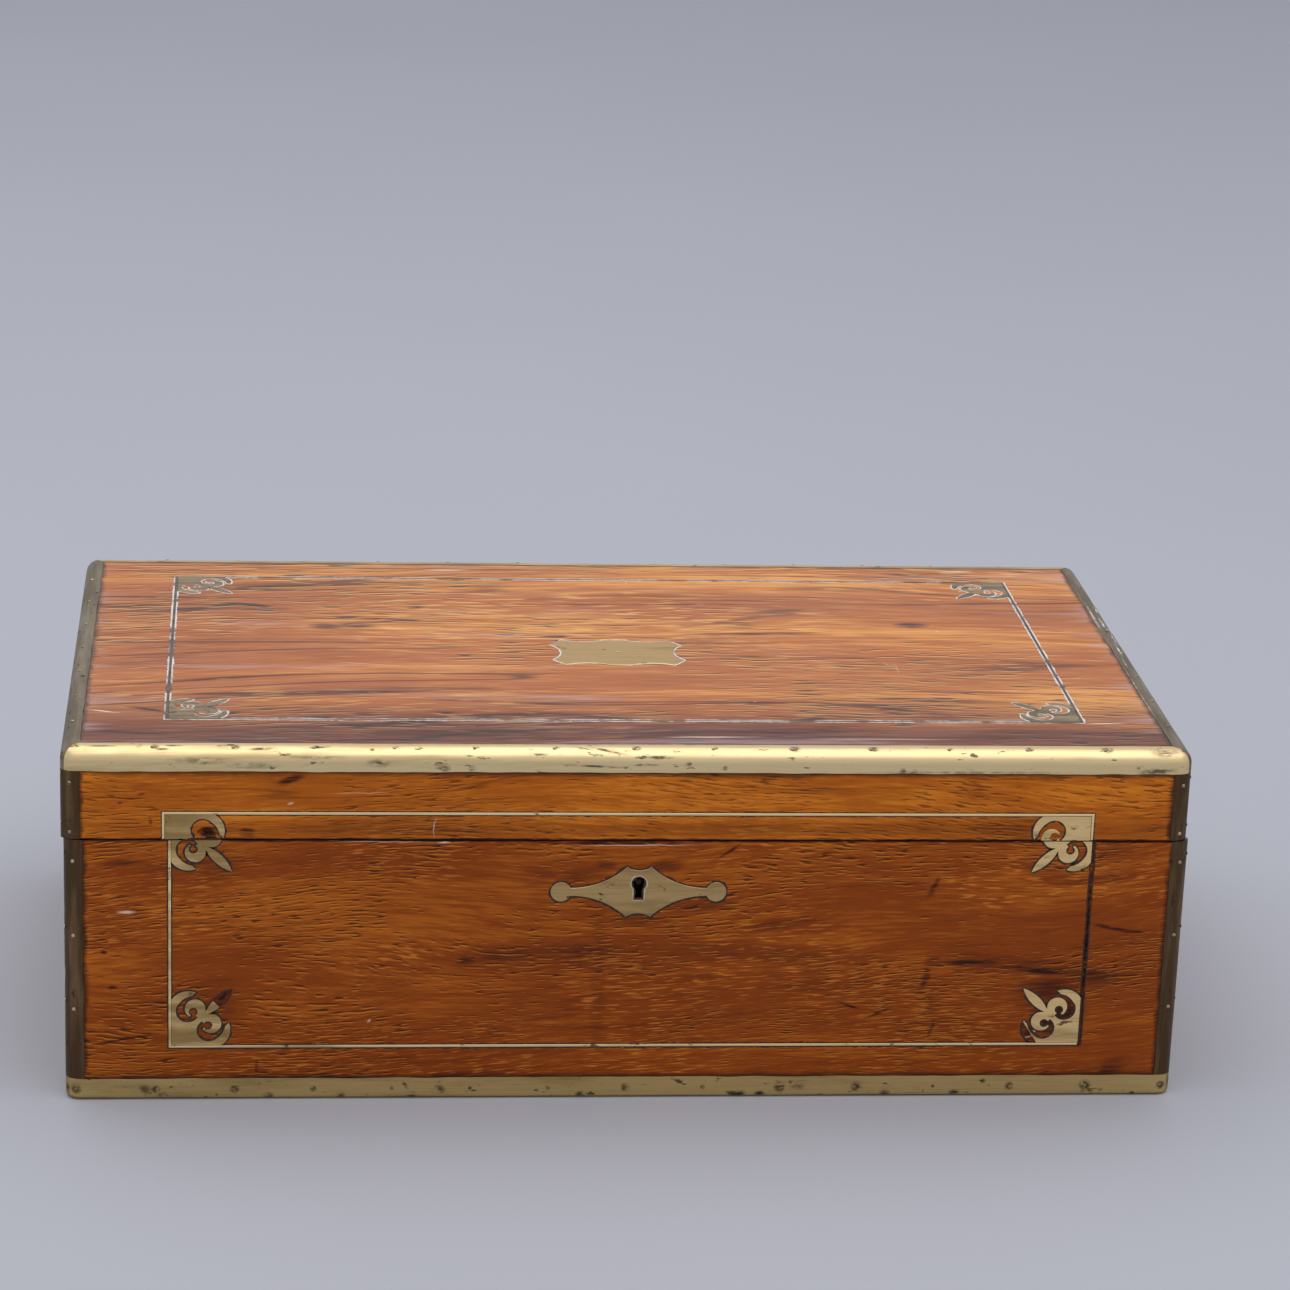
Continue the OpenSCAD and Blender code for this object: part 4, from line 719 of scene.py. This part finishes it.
foot_side_brass = old_brass("foot_side_brass", "YZX", 0.5, 0.5, roughness=0.40,
                            bright=colour(0.5, 0.36, 0.17), dull=colour(0.32, 0.23, 0.1), pins=strip_h / 2)
post_brass = old_brass("post_brass", "ZXY", 0.62, 0.5, roughness=0.42,
                       bright=colour(0.21, 0.135, 0.07), dull=colour(0.10, 0.06, 0.03))


tear_y, tear_reach = 40 * MM, 30 * MM
tear_deep, tear_shallow, tear_lip = 1.05 * MM, 0.35 * MM, 3 * MM
ripple_quick, ripple_slow, ripple_across = 520, 190, 400


def torn_edge(place, over, up):
    """How far the lid's right strip is pressed in by its bruise and tear, deepest along the edge itself."""
    near = max(0.0, 1 - abs(place.y - tear_y) / tear_reach)
    wave = math.sin(place.y * ripple_quick) * math.cos(place.y * ripple_slow + over * ripple_across)
    return near * (0.5 + 0.5 * wave) * (tear_deep if up < tear_lip else tear_shallow)


for side, material, seed in (("front", lid_front_brass, 3.1), ("back", back_brass, 5.2),
                             ("left", lid_dark_brass, 7.3)):
    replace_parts(edge_strip("lid_strip_" + side, side, "lid", material, seed), "lid_binding_" + side)
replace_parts(edge_strip("lid_strip_right", "right", "lid", torn_brass, 9.4, torn_edge), "lid_binding_right")
for side, material, seed in (("front", foot_brass, 2.1), ("back", foot_brass, 4.2),
                             ("left", foot_side_brass, 6.3), ("right", foot_side_brass, 8.4)):
    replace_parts(edge_strip("foot_strip_" + side, side, "base", material, seed), "base_binding_" + side)
for body, node in (("base", "base_corner_strips"), ("lid", "lid_corner_strips")):
    for count, (side_x, side_y) in enumerate(((-1, -1), (1, -1), (1, 1), (-1, 1))):
        post = corner_post(f"{body}_post_{count + 1}", side_x, side_y, body, post_brass, 11.0 + count * 1.7)
        if count == 0:
            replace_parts(post, node)


# Binding pins: soft brass pins driven through the strips into the wood and filed almost flush.
# Their heads are worn round and a little duller than the strips.
pin_metal = old_brass("pin_metal", "XYZ", 0.5, 0.5, roughness=0.34, bright=colour(0.62, 0.50, 0.30),
                      dull=colour(0.25, 0.18, 0.09))
pin_r, pin_sides = 0.85 * MM, 10
head_profile = ((1.0, -0.6), (0.96, -0.24), (0.75, -0.16), (0.4, -0.12))
runs_x = [k * pin_pitch for k in range(-6, 7)]
runs_y = [k * pin_pitch for k in range(-3, 4)]


def ring_faces(first, rings, sides):
    """The faces between rings of points round one axis; first is the number of the first point."""
    faces = []
    for low in range(first, first + (rings - 1) * sides, sides):
        for k in range(sides):
            a, b = low + k, low + (k + 1) % sides
            faces.append((a, b, b + sides, a + sides))
    return faces


def pin_heads(name, places, body, node):
    """Low domes, each at a place on the case with the direction that faces out. The profile gives the share
    of the radius and the height over the case in millimetres."""
    points, faces = [], []
    for place, out in places:
        side = out.orthogonal().normalized()
        other = out.cross(side)
        first = len(points)
        for radius, rise in head_profile:
            for k in range(pin_sides):
                turn = k * 2 * math.pi / pin_sides
                points.append(place + out * rise * MM + (side * math.cos(turn) + other * math.sin(turn))
                              * radius * pin_r)
        faces += ring_faces(first, len(head_profile), pin_sides)
        faces.append(tuple(range(len(points) - pin_sides, len(points))))
        faces.append(tuple(reversed(range(first, first + pin_sides))))
    made = mesh_object(name, points, faces, pin_metal)
    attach(made, body)
    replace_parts(made, node)


def post_pins(front_heights, back_heights):
    """The pins of the corner strips, at heights in millimetres; those in the side walls stand out of line."""
    places = []
    for side_x in (-1, 1):
        for side_y, heights in ((-1, front_heights), (1, back_heights)):
            for z in (height * MM for height in heights):
                places.append((Vector((side_x * (case_w - strip_w) / 2, side_y * case_d / 2, z)),
                               Vector((0, side_y, 0))))
                places.append((Vector((side_x * case_w / 2, side_y * (case_d - strip_w) / 2,
                                       z - side_y * pin_stagger)), Vector((side_x, 0, 0))))
    return places


def run_pins(reach_x, reach_y, z, facing=None):
    """The pins of the four long strips. They face out of their own wall unless a direction is given."""
    along_x = [(Vector((x, side * reach_y, z)), facing or Vector((0, side, 0)))
               for x in runs_x for side in (-1, 1)]
    along_y = [(Vector((side * reach_x, y, z)), facing or Vector((side, 0, 0)))
               for y in runs_y for side in (-1, 1)]
    return along_x + along_y


pin_stagger = 3 * MM
top_out = Vector((0, 0, 1))
foot_places = run_pins(case_w / 2, case_d / 2, strip_h / 2) + post_pins((43.8, 78.8, 113.8), (41.11, 76.11))
pin_heads("foot_pin_heads", foot_places, "base", "base_binding_pins")
top_places = run_pins((case_w - strip_w) / 2, (case_d - strip_w) / 2, case_h, top_out)
top_places += post_pins((127.5, 150.25), (89.8, 112.6, 135.3))
pin_heads("lid_pin_heads", [(place + lid_shift, out) for place, out in top_places], "lid", "lid_binding_pins")


# Brass inlay: strings and pierced corner ornaments sawn from sheet and let into pockets with dark mastic.
# Their edges are worn, a leaf, a horn and a scroll have broken off, and one string is lost.
weld = 1e-6


def inlay_shape(node, out, keep=None):
    """The solid's mesh as clean flat faces; keep tells which of its points stay. The walls between parts that
    touch are taken out."""
    shape = bmesh.new()
    shape.from_mesh(nodes[node].data)
    if keep:
        bmesh.ops.delete(shape, geom=[v for v in shape.verts if not keep(v.co)], context="VERTS")
    bmesh.ops.remove_doubles(shape, verts=shape.verts[:], dist=weld)
    shared = [f for f in shape.faces if abs(f.normal.dot(out)) < 0.5 and any(
        len(e.link_faces) > 2 and abs((e.verts[1].co - e.verts[0].co).dot(out)) < 0.01 * MM for e in f.edges)]
    bmesh.ops.delete(shape, geom=shared, context="FACES_ONLY")
    bmesh.ops.dissolve_limit(shape, angle_limit=math.radians(0.5), verts=shape.verts[:], edges=shape.edges[:])
    return shape


def is_face_out(face, out):
    return face.normal.dot(out) > 0.99


def rim_loops(shape, out):
    """The closed loops of points round the faces that look out, with the metal on their left."""
    following = {}
    for face in shape.faces:
        if is_face_out(face, out):
            for corner in face.loops:
                others = [f for f in corner.edge.link_faces if f is not face]
                if not others or not is_face_out(others[0], out):
                    following[corner.vert] = corner.link_loop_next.vert
    loops = []
    while following:
        start = next(iter(following))
        loop, here = [], start
        while here in following:
            loop.append(here.co.copy())
            here = following.pop(here)
        if len(loop) > 2:
            loops.append(loop)
    return loops


pin_loop, ring_step = 3 * MM, 1.2 * MM
under_lap, least_reach = 0.05 * MM, 0.08 * MM
filler_sink = 0.12
ring_least, ring_slow, ring_quick = 0.55, 0.9, 0.5


def mastic_ring(name, loops, out, body, material, width, sink):
    """A thin ragged ribbon of filler in the wood round the inlay. Its width and how far it lies below the
    face are in millimetres."""
    points, faces = [], []
    for loop in loops:
        fine = []
        for a, b in zip(loop, loop[1:] + loop[:1]):
            parts = max(1, round((b - a).length / ring_step))
            fine += [a.lerp(b, k / parts) for k in range(parts)]
        first, count = len(points), len(fine)
        for k, place in enumerate(fine):
            along = (fine[(k + 1) % count] - fine[k - 1]).normalized()
            aside = along.cross(out).normalized()
            ragged = ring_slow * abs(noise.noise(place * 260)) + ring_quick * noise.noise(place * 900)
            reach = width * MM * (ring_least + ragged)
            level = place - out * sink * MM
            points += [level - aside * under_lap, level + aside * max(reach, least_reach)]
        for k in range(count):
            a, b = first + 2 * k, first + 2 * ((k + 1) % count)
            faces.append((a, b, b + 1, a + 1))
    made = mesh_object(name, points, faces, material, smooth=False)
    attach(made, body)


def worn_inlay(name, node, out, body, material, filler, cuts=(), width=0.6, bevel=0.14, keep=None):
    """The inlay with softened edges and its broken parts cut away. A cut is a point, the direction that is
    lost and the box of the faces it reaches. No filler goes round a loop as small as a pin. The width of the
    filler and of the softened edge are in millimetres."""
    shape = inlay_shape(node, out, keep)
    ring_loops = [loop for loop in rim_loops(shape, out)
                  if (loop[0] - loop[len(loop) // 2]).length > pin_loop]
    for place, lost, low, high in cuts:
        near = [f for f in shape.faces if all(low[i] < f.calc_center_bounds()[i] < high[i] for i in range(3))]
        parts = list({*near, *(e for f in near for e in f.edges), *(v for f in near for v in f.verts)})
        cut = bmesh.ops.bisect_plane(shape, geom=parts, plane_co=place, plane_no=lost, clear_outer=True)
        bmesh.ops.edgenet_fill(shape, edges=[e for e in cut["geom_cut"] if isinstance(e, bmesh.types.BMEdge)])
    shape.normal_update()
    rim = [e for e in shape.edges if len(e.link_faces) == 2
           and is_face_out(e.link_faces[0], out) != is_face_out(e.link_faces[1], out)]
    bmesh.ops.bevel(shape, geom=rim, offset=bevel * MM, segments=2, profile=0.5, affect="EDGES",
                    clamp_overlap=True)
    bmesh.ops.triangulate(shape, faces=[f for f in shape.faces if len(f.verts) > 4], ngon_method="EAR_CLIP")
    data = bpy.data.meshes.new(name)
    shape.to_mesh(data)
    shape.free()
    data.materials.clear()
    data.materials.append(material)
    for face in data.polygons:
        face.use_smooth = not is_face_out(face, out)
    made = bpy.data.objects.new(name, data)
    bpy.context.scene.collection.objects.link(made)
    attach(made, body)
    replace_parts(made, node)
    mastic_ring(name + "_mastic", ring_loops, out, body, filler, width, filler_sink)


mastic, tree = new_material("mastic")
crumbs = soft_step(tree, grain_noise(tree, board_place(tree, "XZY"), (700, 700, 700)), 0.55, 0.75)
coat(tree, {"Base Color": mix(tree, crumbs, colour(0.028, 0.012, 0.007), colour(0.10, 0.04, 0.02)),
            "Roughness": 0.7})
polish_crust, tree = new_material("polish_crust")
crumbs = soft_step(tree, grain_noise(tree, board_place(tree, "XYZ"), (70, 70, 70), detail=3.0), 0.36, 0.52)
coat(tree, {"Base Color": mix(tree, crumbs, colour(0.16, 0.10, 0.09), colour(0.68, 0.64, 0.62)),
            "Roughness": 0.8})
front_out = Vector((0, -1, 0))
inlay_brass = old_brass(
    "inlay_brass", "XZY", 0.5, 0.6, roughness=0.38, bright=colour(0.92, 0.655, 0.30),
    dull=colour(0.41, 0.27, 0.105), stain=colour(0.07, 0.045, 0.025), fade=-0.5)
string_brass = old_brass(
    "string_brass", "XZY", 0.36, 0.5, roughness=0.36, bright=colour(0.95, 0.70, 0.36),
    dull=colour(0.55, 0.36, 0.16), stain=colour(0.05, 0.03, 0.018), metallic=0.75, fade=-0.8)
frame_left, frame_right, frame_low, front_y = -204.4 * MM, 206.6 * MM, 25 * MM, -case_d / 2
leaf_left, horn_left, string_left = 21.2 * MM, 19.5 * MM, 1.45 * MM
left_reach, right_reach, high_reach = -150 * MM, 170 * MM, 70 * MM
left_box = (frame_left - 1 * MM, -1, 0), (left_reach, 1, high_reach)
right_box = (right_reach, -1, 0), (220 * MM, 1, high_reach)
lost_leaf = Vector((frame_left + leaf_left, front_y, frame_low + leaf_left))
lost_horn = Vector((frame_right - horn_left, front_y, frame_low))
lost_string = Vector((frame_right - string_left, front_y, frame_low))
worn_inlay(
    "front_ornaments", "base_corner_inlays", front_out, "base", inlay_brass, mastic, bevel=0.3, width=1.1,
    cuts=[(lost_leaf, Vector((1, 0, 1)).normalized(), *left_box),
          (lost_horn, Vector((-1, 0, -0.65)).normalized(), *right_box)])
worn_inlay("front_strings", "base_front_stringing", front_out, "base", string_brass, mastic, bevel=0.42,
           width=0.7, cuts=[(lost_string, Vector((1, 0, 0)), (-1, -1, 0), (1, 1, 1))])
scroll_left, scroll_right, scroll_top = -193 * MM, -183.5 * MM, 129.75 * MM


def off_lost_scroll(point):
    """Whether a point of the lid's left front ornament lies outside the scroll that broke off."""
    return not (scroll_left < point.x < scroll_right and point.z < scroll_top)


worn_inlay("lid_front_ornaments", "lid_front_inlays", front_out, "lid", inlay_brass, mastic, bevel=0.3,
           width=1.0, keep=off_lost_scroll)
top_inlay_brass = old_brass("top_inlay_brass", "XYZ", 0.6, 0.6, roughness=0.45,
                            bright=colour(0.55, 0.42, 0.24), dull=colour(0.25, 0.19, 0.12),
                            stain=colour(0.12, 0.10, 0.085))
worn_inlay("top_ornaments", "lid_top_inlays", top_out, "lid", top_inlay_brass, polish_crust, width=0.9)


# Lid stringing: one set is let into the top, one into the front above the seam.
# Both are sawn from the same sheet, but the top set is dirty and crusted along its edges.
lid_string_brass = old_brass("lid_string_brass", "XYZ", 0.5, 0.2, roughness=0.45,
                             bright=colour(0.24, 0.175, 0.11), dull=colour(0.14, 0.10, 0.07),
                             stain=colour(0.05, 0.035, 0.03))
top_set_low = 160 * MM
worn_inlay("top_strings", "lid_stringing", top_out, "lid", lid_string_brass, polish_crust, width=0.9,
           bevel=0.2, keep=lambda point: point.z > top_set_low)
clean_string_brass = old_brass("clean_string_brass", "XZY", 0.3, 0.3, roughness=0.36,
                               bright=colour(0.96, 0.74, 0.38), dull=colour(0.66, 0.45, 0.20), metallic=0.75)
worn_inlay("lid_front_strings", "lid_stringing", front_out, "lid", clean_string_brass, mastic, width=0.5,
           bevel=0.42, keep=lambda point: point.z < top_set_low)


# Escutcheon: a pointed sheet-brass plate with two round ends, sawn out and let in flush round the keyhole.
# It is dull with handling and dark round the edge; a ribbon of brighter brass round the keyhole is a painted
# highlight of its rim.
escutcheon_brass = old_brass("escutcheon_brass", "XZY", 0.5, 0.45, roughness=0.36,
                             bright=colour(0.56, 0.37, 0.155), dull=colour(0.31, 0.20, 0.085))
worn_inlay("escutcheon_plate", "escutcheon", front_out, "base", escutcheon_brass, mastic, width=1.0,
           bevel=0.35)
# Painted highlight: the keyhole's rim is a flat ribbon of brighter brass standing for the light on its edge.
keyhole_highlight_brass = old_brass("keyhole_highlight_brass", "XZY", 0.2, 0.2, roughness=0.34, bright=colour(0.74, 0.60, 0.37))
plate_shape = inlay_shape("escutcheon", front_out)
keyhole = min(rim_loops(plate_shape, front_out),
              key=lambda loop: max(p.x for p in loop) - min(p.x for p in loop))
keyhole.reverse()
rim_width, rim_sink = 0.55, -0.02
mastic_ring("keyhole_rim", [keyhole], front_out, "base", keyhole_highlight_brass, rim_width, rim_sink)
plate_shape.free()


# Cartouche: the blank plate in the middle of the lid, cut with cusps and bitten ends and pinned once.
# It is polished harder than the ornaments and has pale crumbs of polish along its edge.
plate_brass = old_brass("plate_brass", "XYZ", 0.4, 0.3, roughness=0.42,
                        bright=colour(0.68, 0.45, 0.18), dull=colour(0.46, 0.30, 0.115))
worn_inlay("cartouche_plate", "cartouche", top_out, "lid", plate_brass, polish_crust, width=0.9, bevel=0.3)


# Lock: a brass case let into the front board, with a steel bolt that slides sideways into the lid's staples.
# Its brass is painted near black, the shade seen inside the keyhole, so the keyhole looks dark; the link
# plate above it is screwed into the lid and painted the same.
keyhole_shade_brass = old_brass(
    "keyhole_shade_brass", "XZY", 0.8, 0.8, roughness=0.5, bright=colour(0.16, 0.11, 0.06),
    dull=colour(0.05, 0.035, 0.022), stain=colour(0.012, 0.009, 0.007))
steel, tree = new_material("worn_steel")
scuffs = grain_noise(tree, board_place(tree, "XZY"), (60, 900, 900), detail=3.0)
coat(tree, {"Base Color": mix(tree, scuffs, colour(0.40, 0.39, 0.38), colour(0.62, 0.60, 0.58)),
            "Metallic": 1.0, "Roughness": soft_step(tree, scuffs, 0.3, 0.7, 0.24, 0.42)})
dress(keyhole_shade_brass, "lock_case", "link_plate")
dress(steel, "lock_bolt", "lock_screws")


# Hinges: two brass butts let into the edges of the back boards, each with a brass pin and six screws.
# The small butts of the writing flaps are of the same brass, and all have stayed bright inside the case.
hinge_brass = old_brass("hinge_brass", "XYZ", 0.35, 0.3, roughness=0.30, bright=colour(0.80, 0.60, 0.28))
dress(hinge_brass, "base_hinge_leaves", "lid_hinge_leaves", "hinge_pins", "base_hinge_screws",
      "lid_hinge_screws", "base_flap_hinges", "lid_flap_hinges", "base_flap_leaves", "lid_flap_leaves")


# Compartments: thin mahogany floors, cleats, rails and partitions, oiled and glued inside the case.
# The ink-stained pen tray lifts out; it is hollowed from one piece and rests on two cleats.
mahogany_tones = (colour(0.36, 0.125, 0.042), colour(0.22, 0.062, 0.020), colour(0.07, 0.020, 0.010))
mahogany = polished_wood("mahogany", "XYZ", mahogany_tones, gloss=0.42, rings=0.2,
                         fleck_and_glint=colour(0.45, 0.18, 0.07))
tray_wood = polished_wood(
    "tray_wood", "XYZ", mahogany_tones, gloss=0.40, rings=0.2, fleck_and_glint=colour(0.45, 0.18, 0.07),
    marks=[(-60, -108, 16, 9, 0, 0.7), (-40, -112, 5, 4, 0, 0.9), (90, -105, 9, 7, 0, 0.6),
           (150, -110, 4, 3, 0, 0.9), (-140, -104, 5, 5, 0, 0.5)])
dress(mahogany, "upper_floor", "cleats", "well_divider", "ink_partitions", "base_flap_ledges",
      "lid_flap_ledges", "base_hinge_rail", "lid_hinge_rail")
dress(tray_wood, "pen_tray")


# Ink bottles: square pressed-glass wells with a round mouth, one in each end compartment.
# Brass caps close them, turned with a plain rim and a round knob.
glass, tree = new_material("inkwell_glass")
coat(tree, {"Base Color": colour(0.86, 0.93, 0.91), "Roughness": 0.04, "IOR": 1.47,
            "Transmission Weight": 1.0})
dress(glass, "inkwell_left", "inkwell_right")
cap_brass = old_brass("cap_brass", "XYZ", 0.3, 0.25, roughness=0.28, bright=colour(0.82, 0.62, 0.30))
caps_low, caps_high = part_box("inkwell_caps")
cap_r, cap_rise = (caps_high.y - caps_low.y) / 2, caps_high.z - caps_low.z
cap_y = (caps_low.y + caps_high.y) / 2
cap_profile = [
    (0.0, 0.0), (0.90, 0.0), (0.97, 0.03), (1.0, 0.10), (1.0, 0.55), (0.97, 0.62), (0.90, 0.66),
    (0.86, 0.67), (0.84, 0.70), (0.80, 0.74), (0.70, 0.775), (0.64, 0.79), (0.62, 0.80), (0.61, 0.93),
    (0.58, 0.98), (0.52, 0.995), (0.44, 0.985), (0.36, 0.975), (0.20, 0.985), (0.08, 1.0), (0.0, 1.0)]
cap_steps = 96
cap_points, cap_faces = [], []
for centre_x in (caps_low.x + cap_r, caps_high.x - cap_r):
    first = len(cap_points)
    for radius, rise in cap_profile:
        for k in range(cap_steps):
            turn = k * 2 * math.pi / cap_steps
            cap_points.append((centre_x + cap_r * radius * math.cos(turn),
                               cap_y + cap_r * radius * math.sin(turn), caps_low.z + cap_rise * rise))
    cap_faces += ring_faces(first, len(cap_profile), cap_steps)
caps = mesh_object("turned_caps", cap_points, cap_faces, cap_brass)
caps_shape = bmesh.new()
caps_shape.from_mesh(caps.data)
bmesh.ops.remove_doubles(caps_shape, verts=caps_shape.verts[:], dist=weld)
caps_shape.to_mesh(caps.data)
caps_shape.free()
caps.data.set_sharp_from_angle(angle=math.radians(35))
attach(caps, "base")
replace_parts(caps, "inkwell_caps")


# Writing flaps: two figured boards on small butts, whose leathered faces meet in one slope in the open case.
# They are planed square and polished like the outside.
flap_wood = polished_wood(
    "flap_wood", "XYZ", warm_tones, slope=0.02, rings=0.5,
    marks=[(-90, 60, 40, 3, 0.05, 0.5), (120, 20, 14, 4, 0, 0.6), (-180, -40, 20, 2, 0.1, 0.7)])
dress(flap_wood, "base_flap", "lid_flap")


# Writing leather: a thin calf skin glued in the recess of each flap, dyed dark red, with tooled gilt lines.
# It has swollen softly between the tooled lines and is rubbed paler in patches.
tilt = math.atan(seam_slope)
slope_along = Vector((0, math.cos(tilt), -math.sin(tilt)))
slope_out = Vector((0, math.sin(tilt), math.cos(tilt)))


def on_slope(x, along, out):
    return Vector((x, 0, 0)) + slope_along * along + slope_out * out


def slope_box(node):
    """The node's lowest and highest places across, along the slope and out of it."""
    places = [v.co for v in nodes[node].data.vertices]
    across, along, out = zip(*((p.x, p.dot(slope_along), p.dot(slope_out)) for p in places))
    return (min(across), max(across)), (min(along), max(along)), (min(out), max(out))


leather, tree = new_material("writing_leather")
place = board_place(tree, "XYZ")
pebble = wire(tree, "TexVoronoi", {"Vector": place, "Scale": 900.0, "Randomness": 1.0})
crease = wire(tree, "TexNoise", {"Vector": place, "Scale": 55.0, "Detail": 6.0, "Roughness": 0.6})
worn = soft_step(tree, wire(tree, "TexNoise", {"Vector": place, "Scale": 9.0, "Detail": 4.0}), 0.42, 0.70)
hide = mix(tree, worn, colour(0.135, 0.022, 0.016), colour(0.28, 0.065, 0.040))
dark_crease = times(tree, soft_step(tree, crease, 0.50, 0.74), 0.45)
hide = mix(tree, dark_crease, hide, colour(0.05, 0.012, 0.010))
grainy = plus(tree, times(tree, pebble, 0.6), crease)
coat(tree, {"Base Color": hide, "Roughness": soft_step(tree, crease, 0.3, 0.7, 0.42, 0.62),
            "Normal": wire(tree, "Bump", {"Strength": 0.5, "Distance": 0.2 * MM, "Height": grainy})})
gilt, tree = new_material("gilt_tooling")
flaked = grain_noise(tree, board_place(tree, "XYZ"), (300, 300, 300), detail=3.0)
lost_gilt = soft_step(tree, flaked, 0.52, 0.62)
coat(tree, {"Base Color": mix(tree, lost_gilt, colour(0.85, 0.60, 0.24), colour(0.16, 0.04, 0.025)),
            "Metallic": minus(tree, 1.0, lost_gilt), "Roughness": 0.38})
gilt_lines = ((6.35, 6.85), (9.75, 10.15))
edge_stops = [0, 0.25, 0.6, 1.2, 2.5, 6.0, 6.4, 6.8, 7.2, 9.4, 9.8, 10.1, 10.5, 12.0]
middle_steps, rounding, line_side = 36, 1.2, 0.05
skin, crown, swell, press = 0.62, 0.28, 0.07, 0.14


def on_line(edge, beside=0.0):
    """Whether a place lies on a tooled line or beside it, by its distance from the edge in millimetres."""
    return any(low - beside < edge < high + beside for low, high in gilt_lines)


def leather_panel(name, node, body, facing):
    """A soft skin as large as its flat panel; facing is 1 where it looks up in the closed case, else -1.
    skin, crown, swell and press are shares of its thickness."""
    (x0, x1), (t0, t1), (n0, n1) = slope_box(node)
    base, rise = (n0, n1 - n0) if facing > 0 else (n1, n0 - n1)

    def stops(low, high):
        size, first = (high - low) / MM, edge_stops[-1]
        middle = [first + k * (size - 2 * first) / middle_steps for k in range(1, middle_steps)]
        return [low + stop * MM for stop in edge_stops + middle + [size - e for e in reversed(edge_stops)]]

    def level(x, t):
        edge = min(x - x0, x1 - x, t - t0, t1 - t) / MM
        share = skin + crown * min(1.0, edge / rounding) ** 0.5
        share += swell * noise.noise(Vector((x * 28, t * 28, 3.3)))
        return rise * (share - press if on_line(edge, line_side) else share)

    rows = [[[on_slope(x, t, out) for out in (base + level(x, t), base)] for x in stops(x0, x1)]
            for t in stops(t0, t1)]
    panel = closed_sheet(name, rows, body, leather, sharp=60)
    panel.data.materials.append(gilt)
    for face in panel.data.polygons:
        middle = face.center
        along = middle.dot(slope_along)
        edge = min(middle.x - x0, x1 - middle.x, along - t0, t1 - along) / MM
        if on_line(edge):
            face.material_index = 1
    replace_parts(panel, node)


leather_panel("base_writing_leather", "base_flap_leather", "base_flap", 1)
leather_panel("lid_writing_leather", "lid_flap_leather", "lid_flap", -1)


# Lifting tabs: short flat ends of woven silk ribbon glued under the edge of each flap, to lift it by.
# The weave is fine and ribbed, and the free end is frayed.
ribbon, tree = new_material("ribbon")
weave = calc3(tree, "MULTIPLY", board_place(tree, "XYZ"), (9000, 5200, 0))
split = wire(tree, "SeparateXYZ", {0: weave}, out=None)
threads = times(tree, calc(tree, "SINE", split[0]), calc(tree, "SINE", split[1]))
silk = mix(tree, soft_step(tree, threads, -0.6, 0.6), colour(0.10, 0.015, 0.012), colour(0.30, 0.05, 0.035))
coat(tree, {"Base Color": silk, "Roughness": 0.75,
            "Normal": wire(tree, "Bump", {"Strength": 0.6, "Distance": 0.1 * MM, "Height": threads})})
long_steps, wide_steps, half_thick = 24, 16, 0.24
fray, sway, long_wave, wide_wave = 0.5 * MM, 0.012, 0.18, 0.10
for name, node, body in (("base_tab", "base_flap_tab", "base_flap"), ("lid_tab", "lid_flap_tab", "lid_flap")):
    (x0, x1), (t0, t1), (n0, n1) = slope_box(node)
    rows = []
    for i in range(long_steps + 1):
        row = []
        for j in range(wide_steps + 1):
            u, v = i / long_steps, j / wide_steps
            frayed = fray * abs(noise.noise(Vector((j * 2.7, 1.0, x0)))) if i == 0 else 0
            x = x0 + (x1 - x0) * (v + sway * math.sin(u * 9) * (0.5 - v))
            wave = 0.5 + long_wave * math.sin(u * 7 + 0.6) + wide_wave * math.sin(v * 6)
            along = t0 + frayed + (t1 - t0) * u
            row.append([on_slope(x, along, n0 + (n1 - n0) * min(1, max(0, wave + thick)))
                        for thick in (half_thick, -half_thick)])
        rows.append(row)
    tab = closed_sheet(name, rows, body, ribbon)
    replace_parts(tab, node)
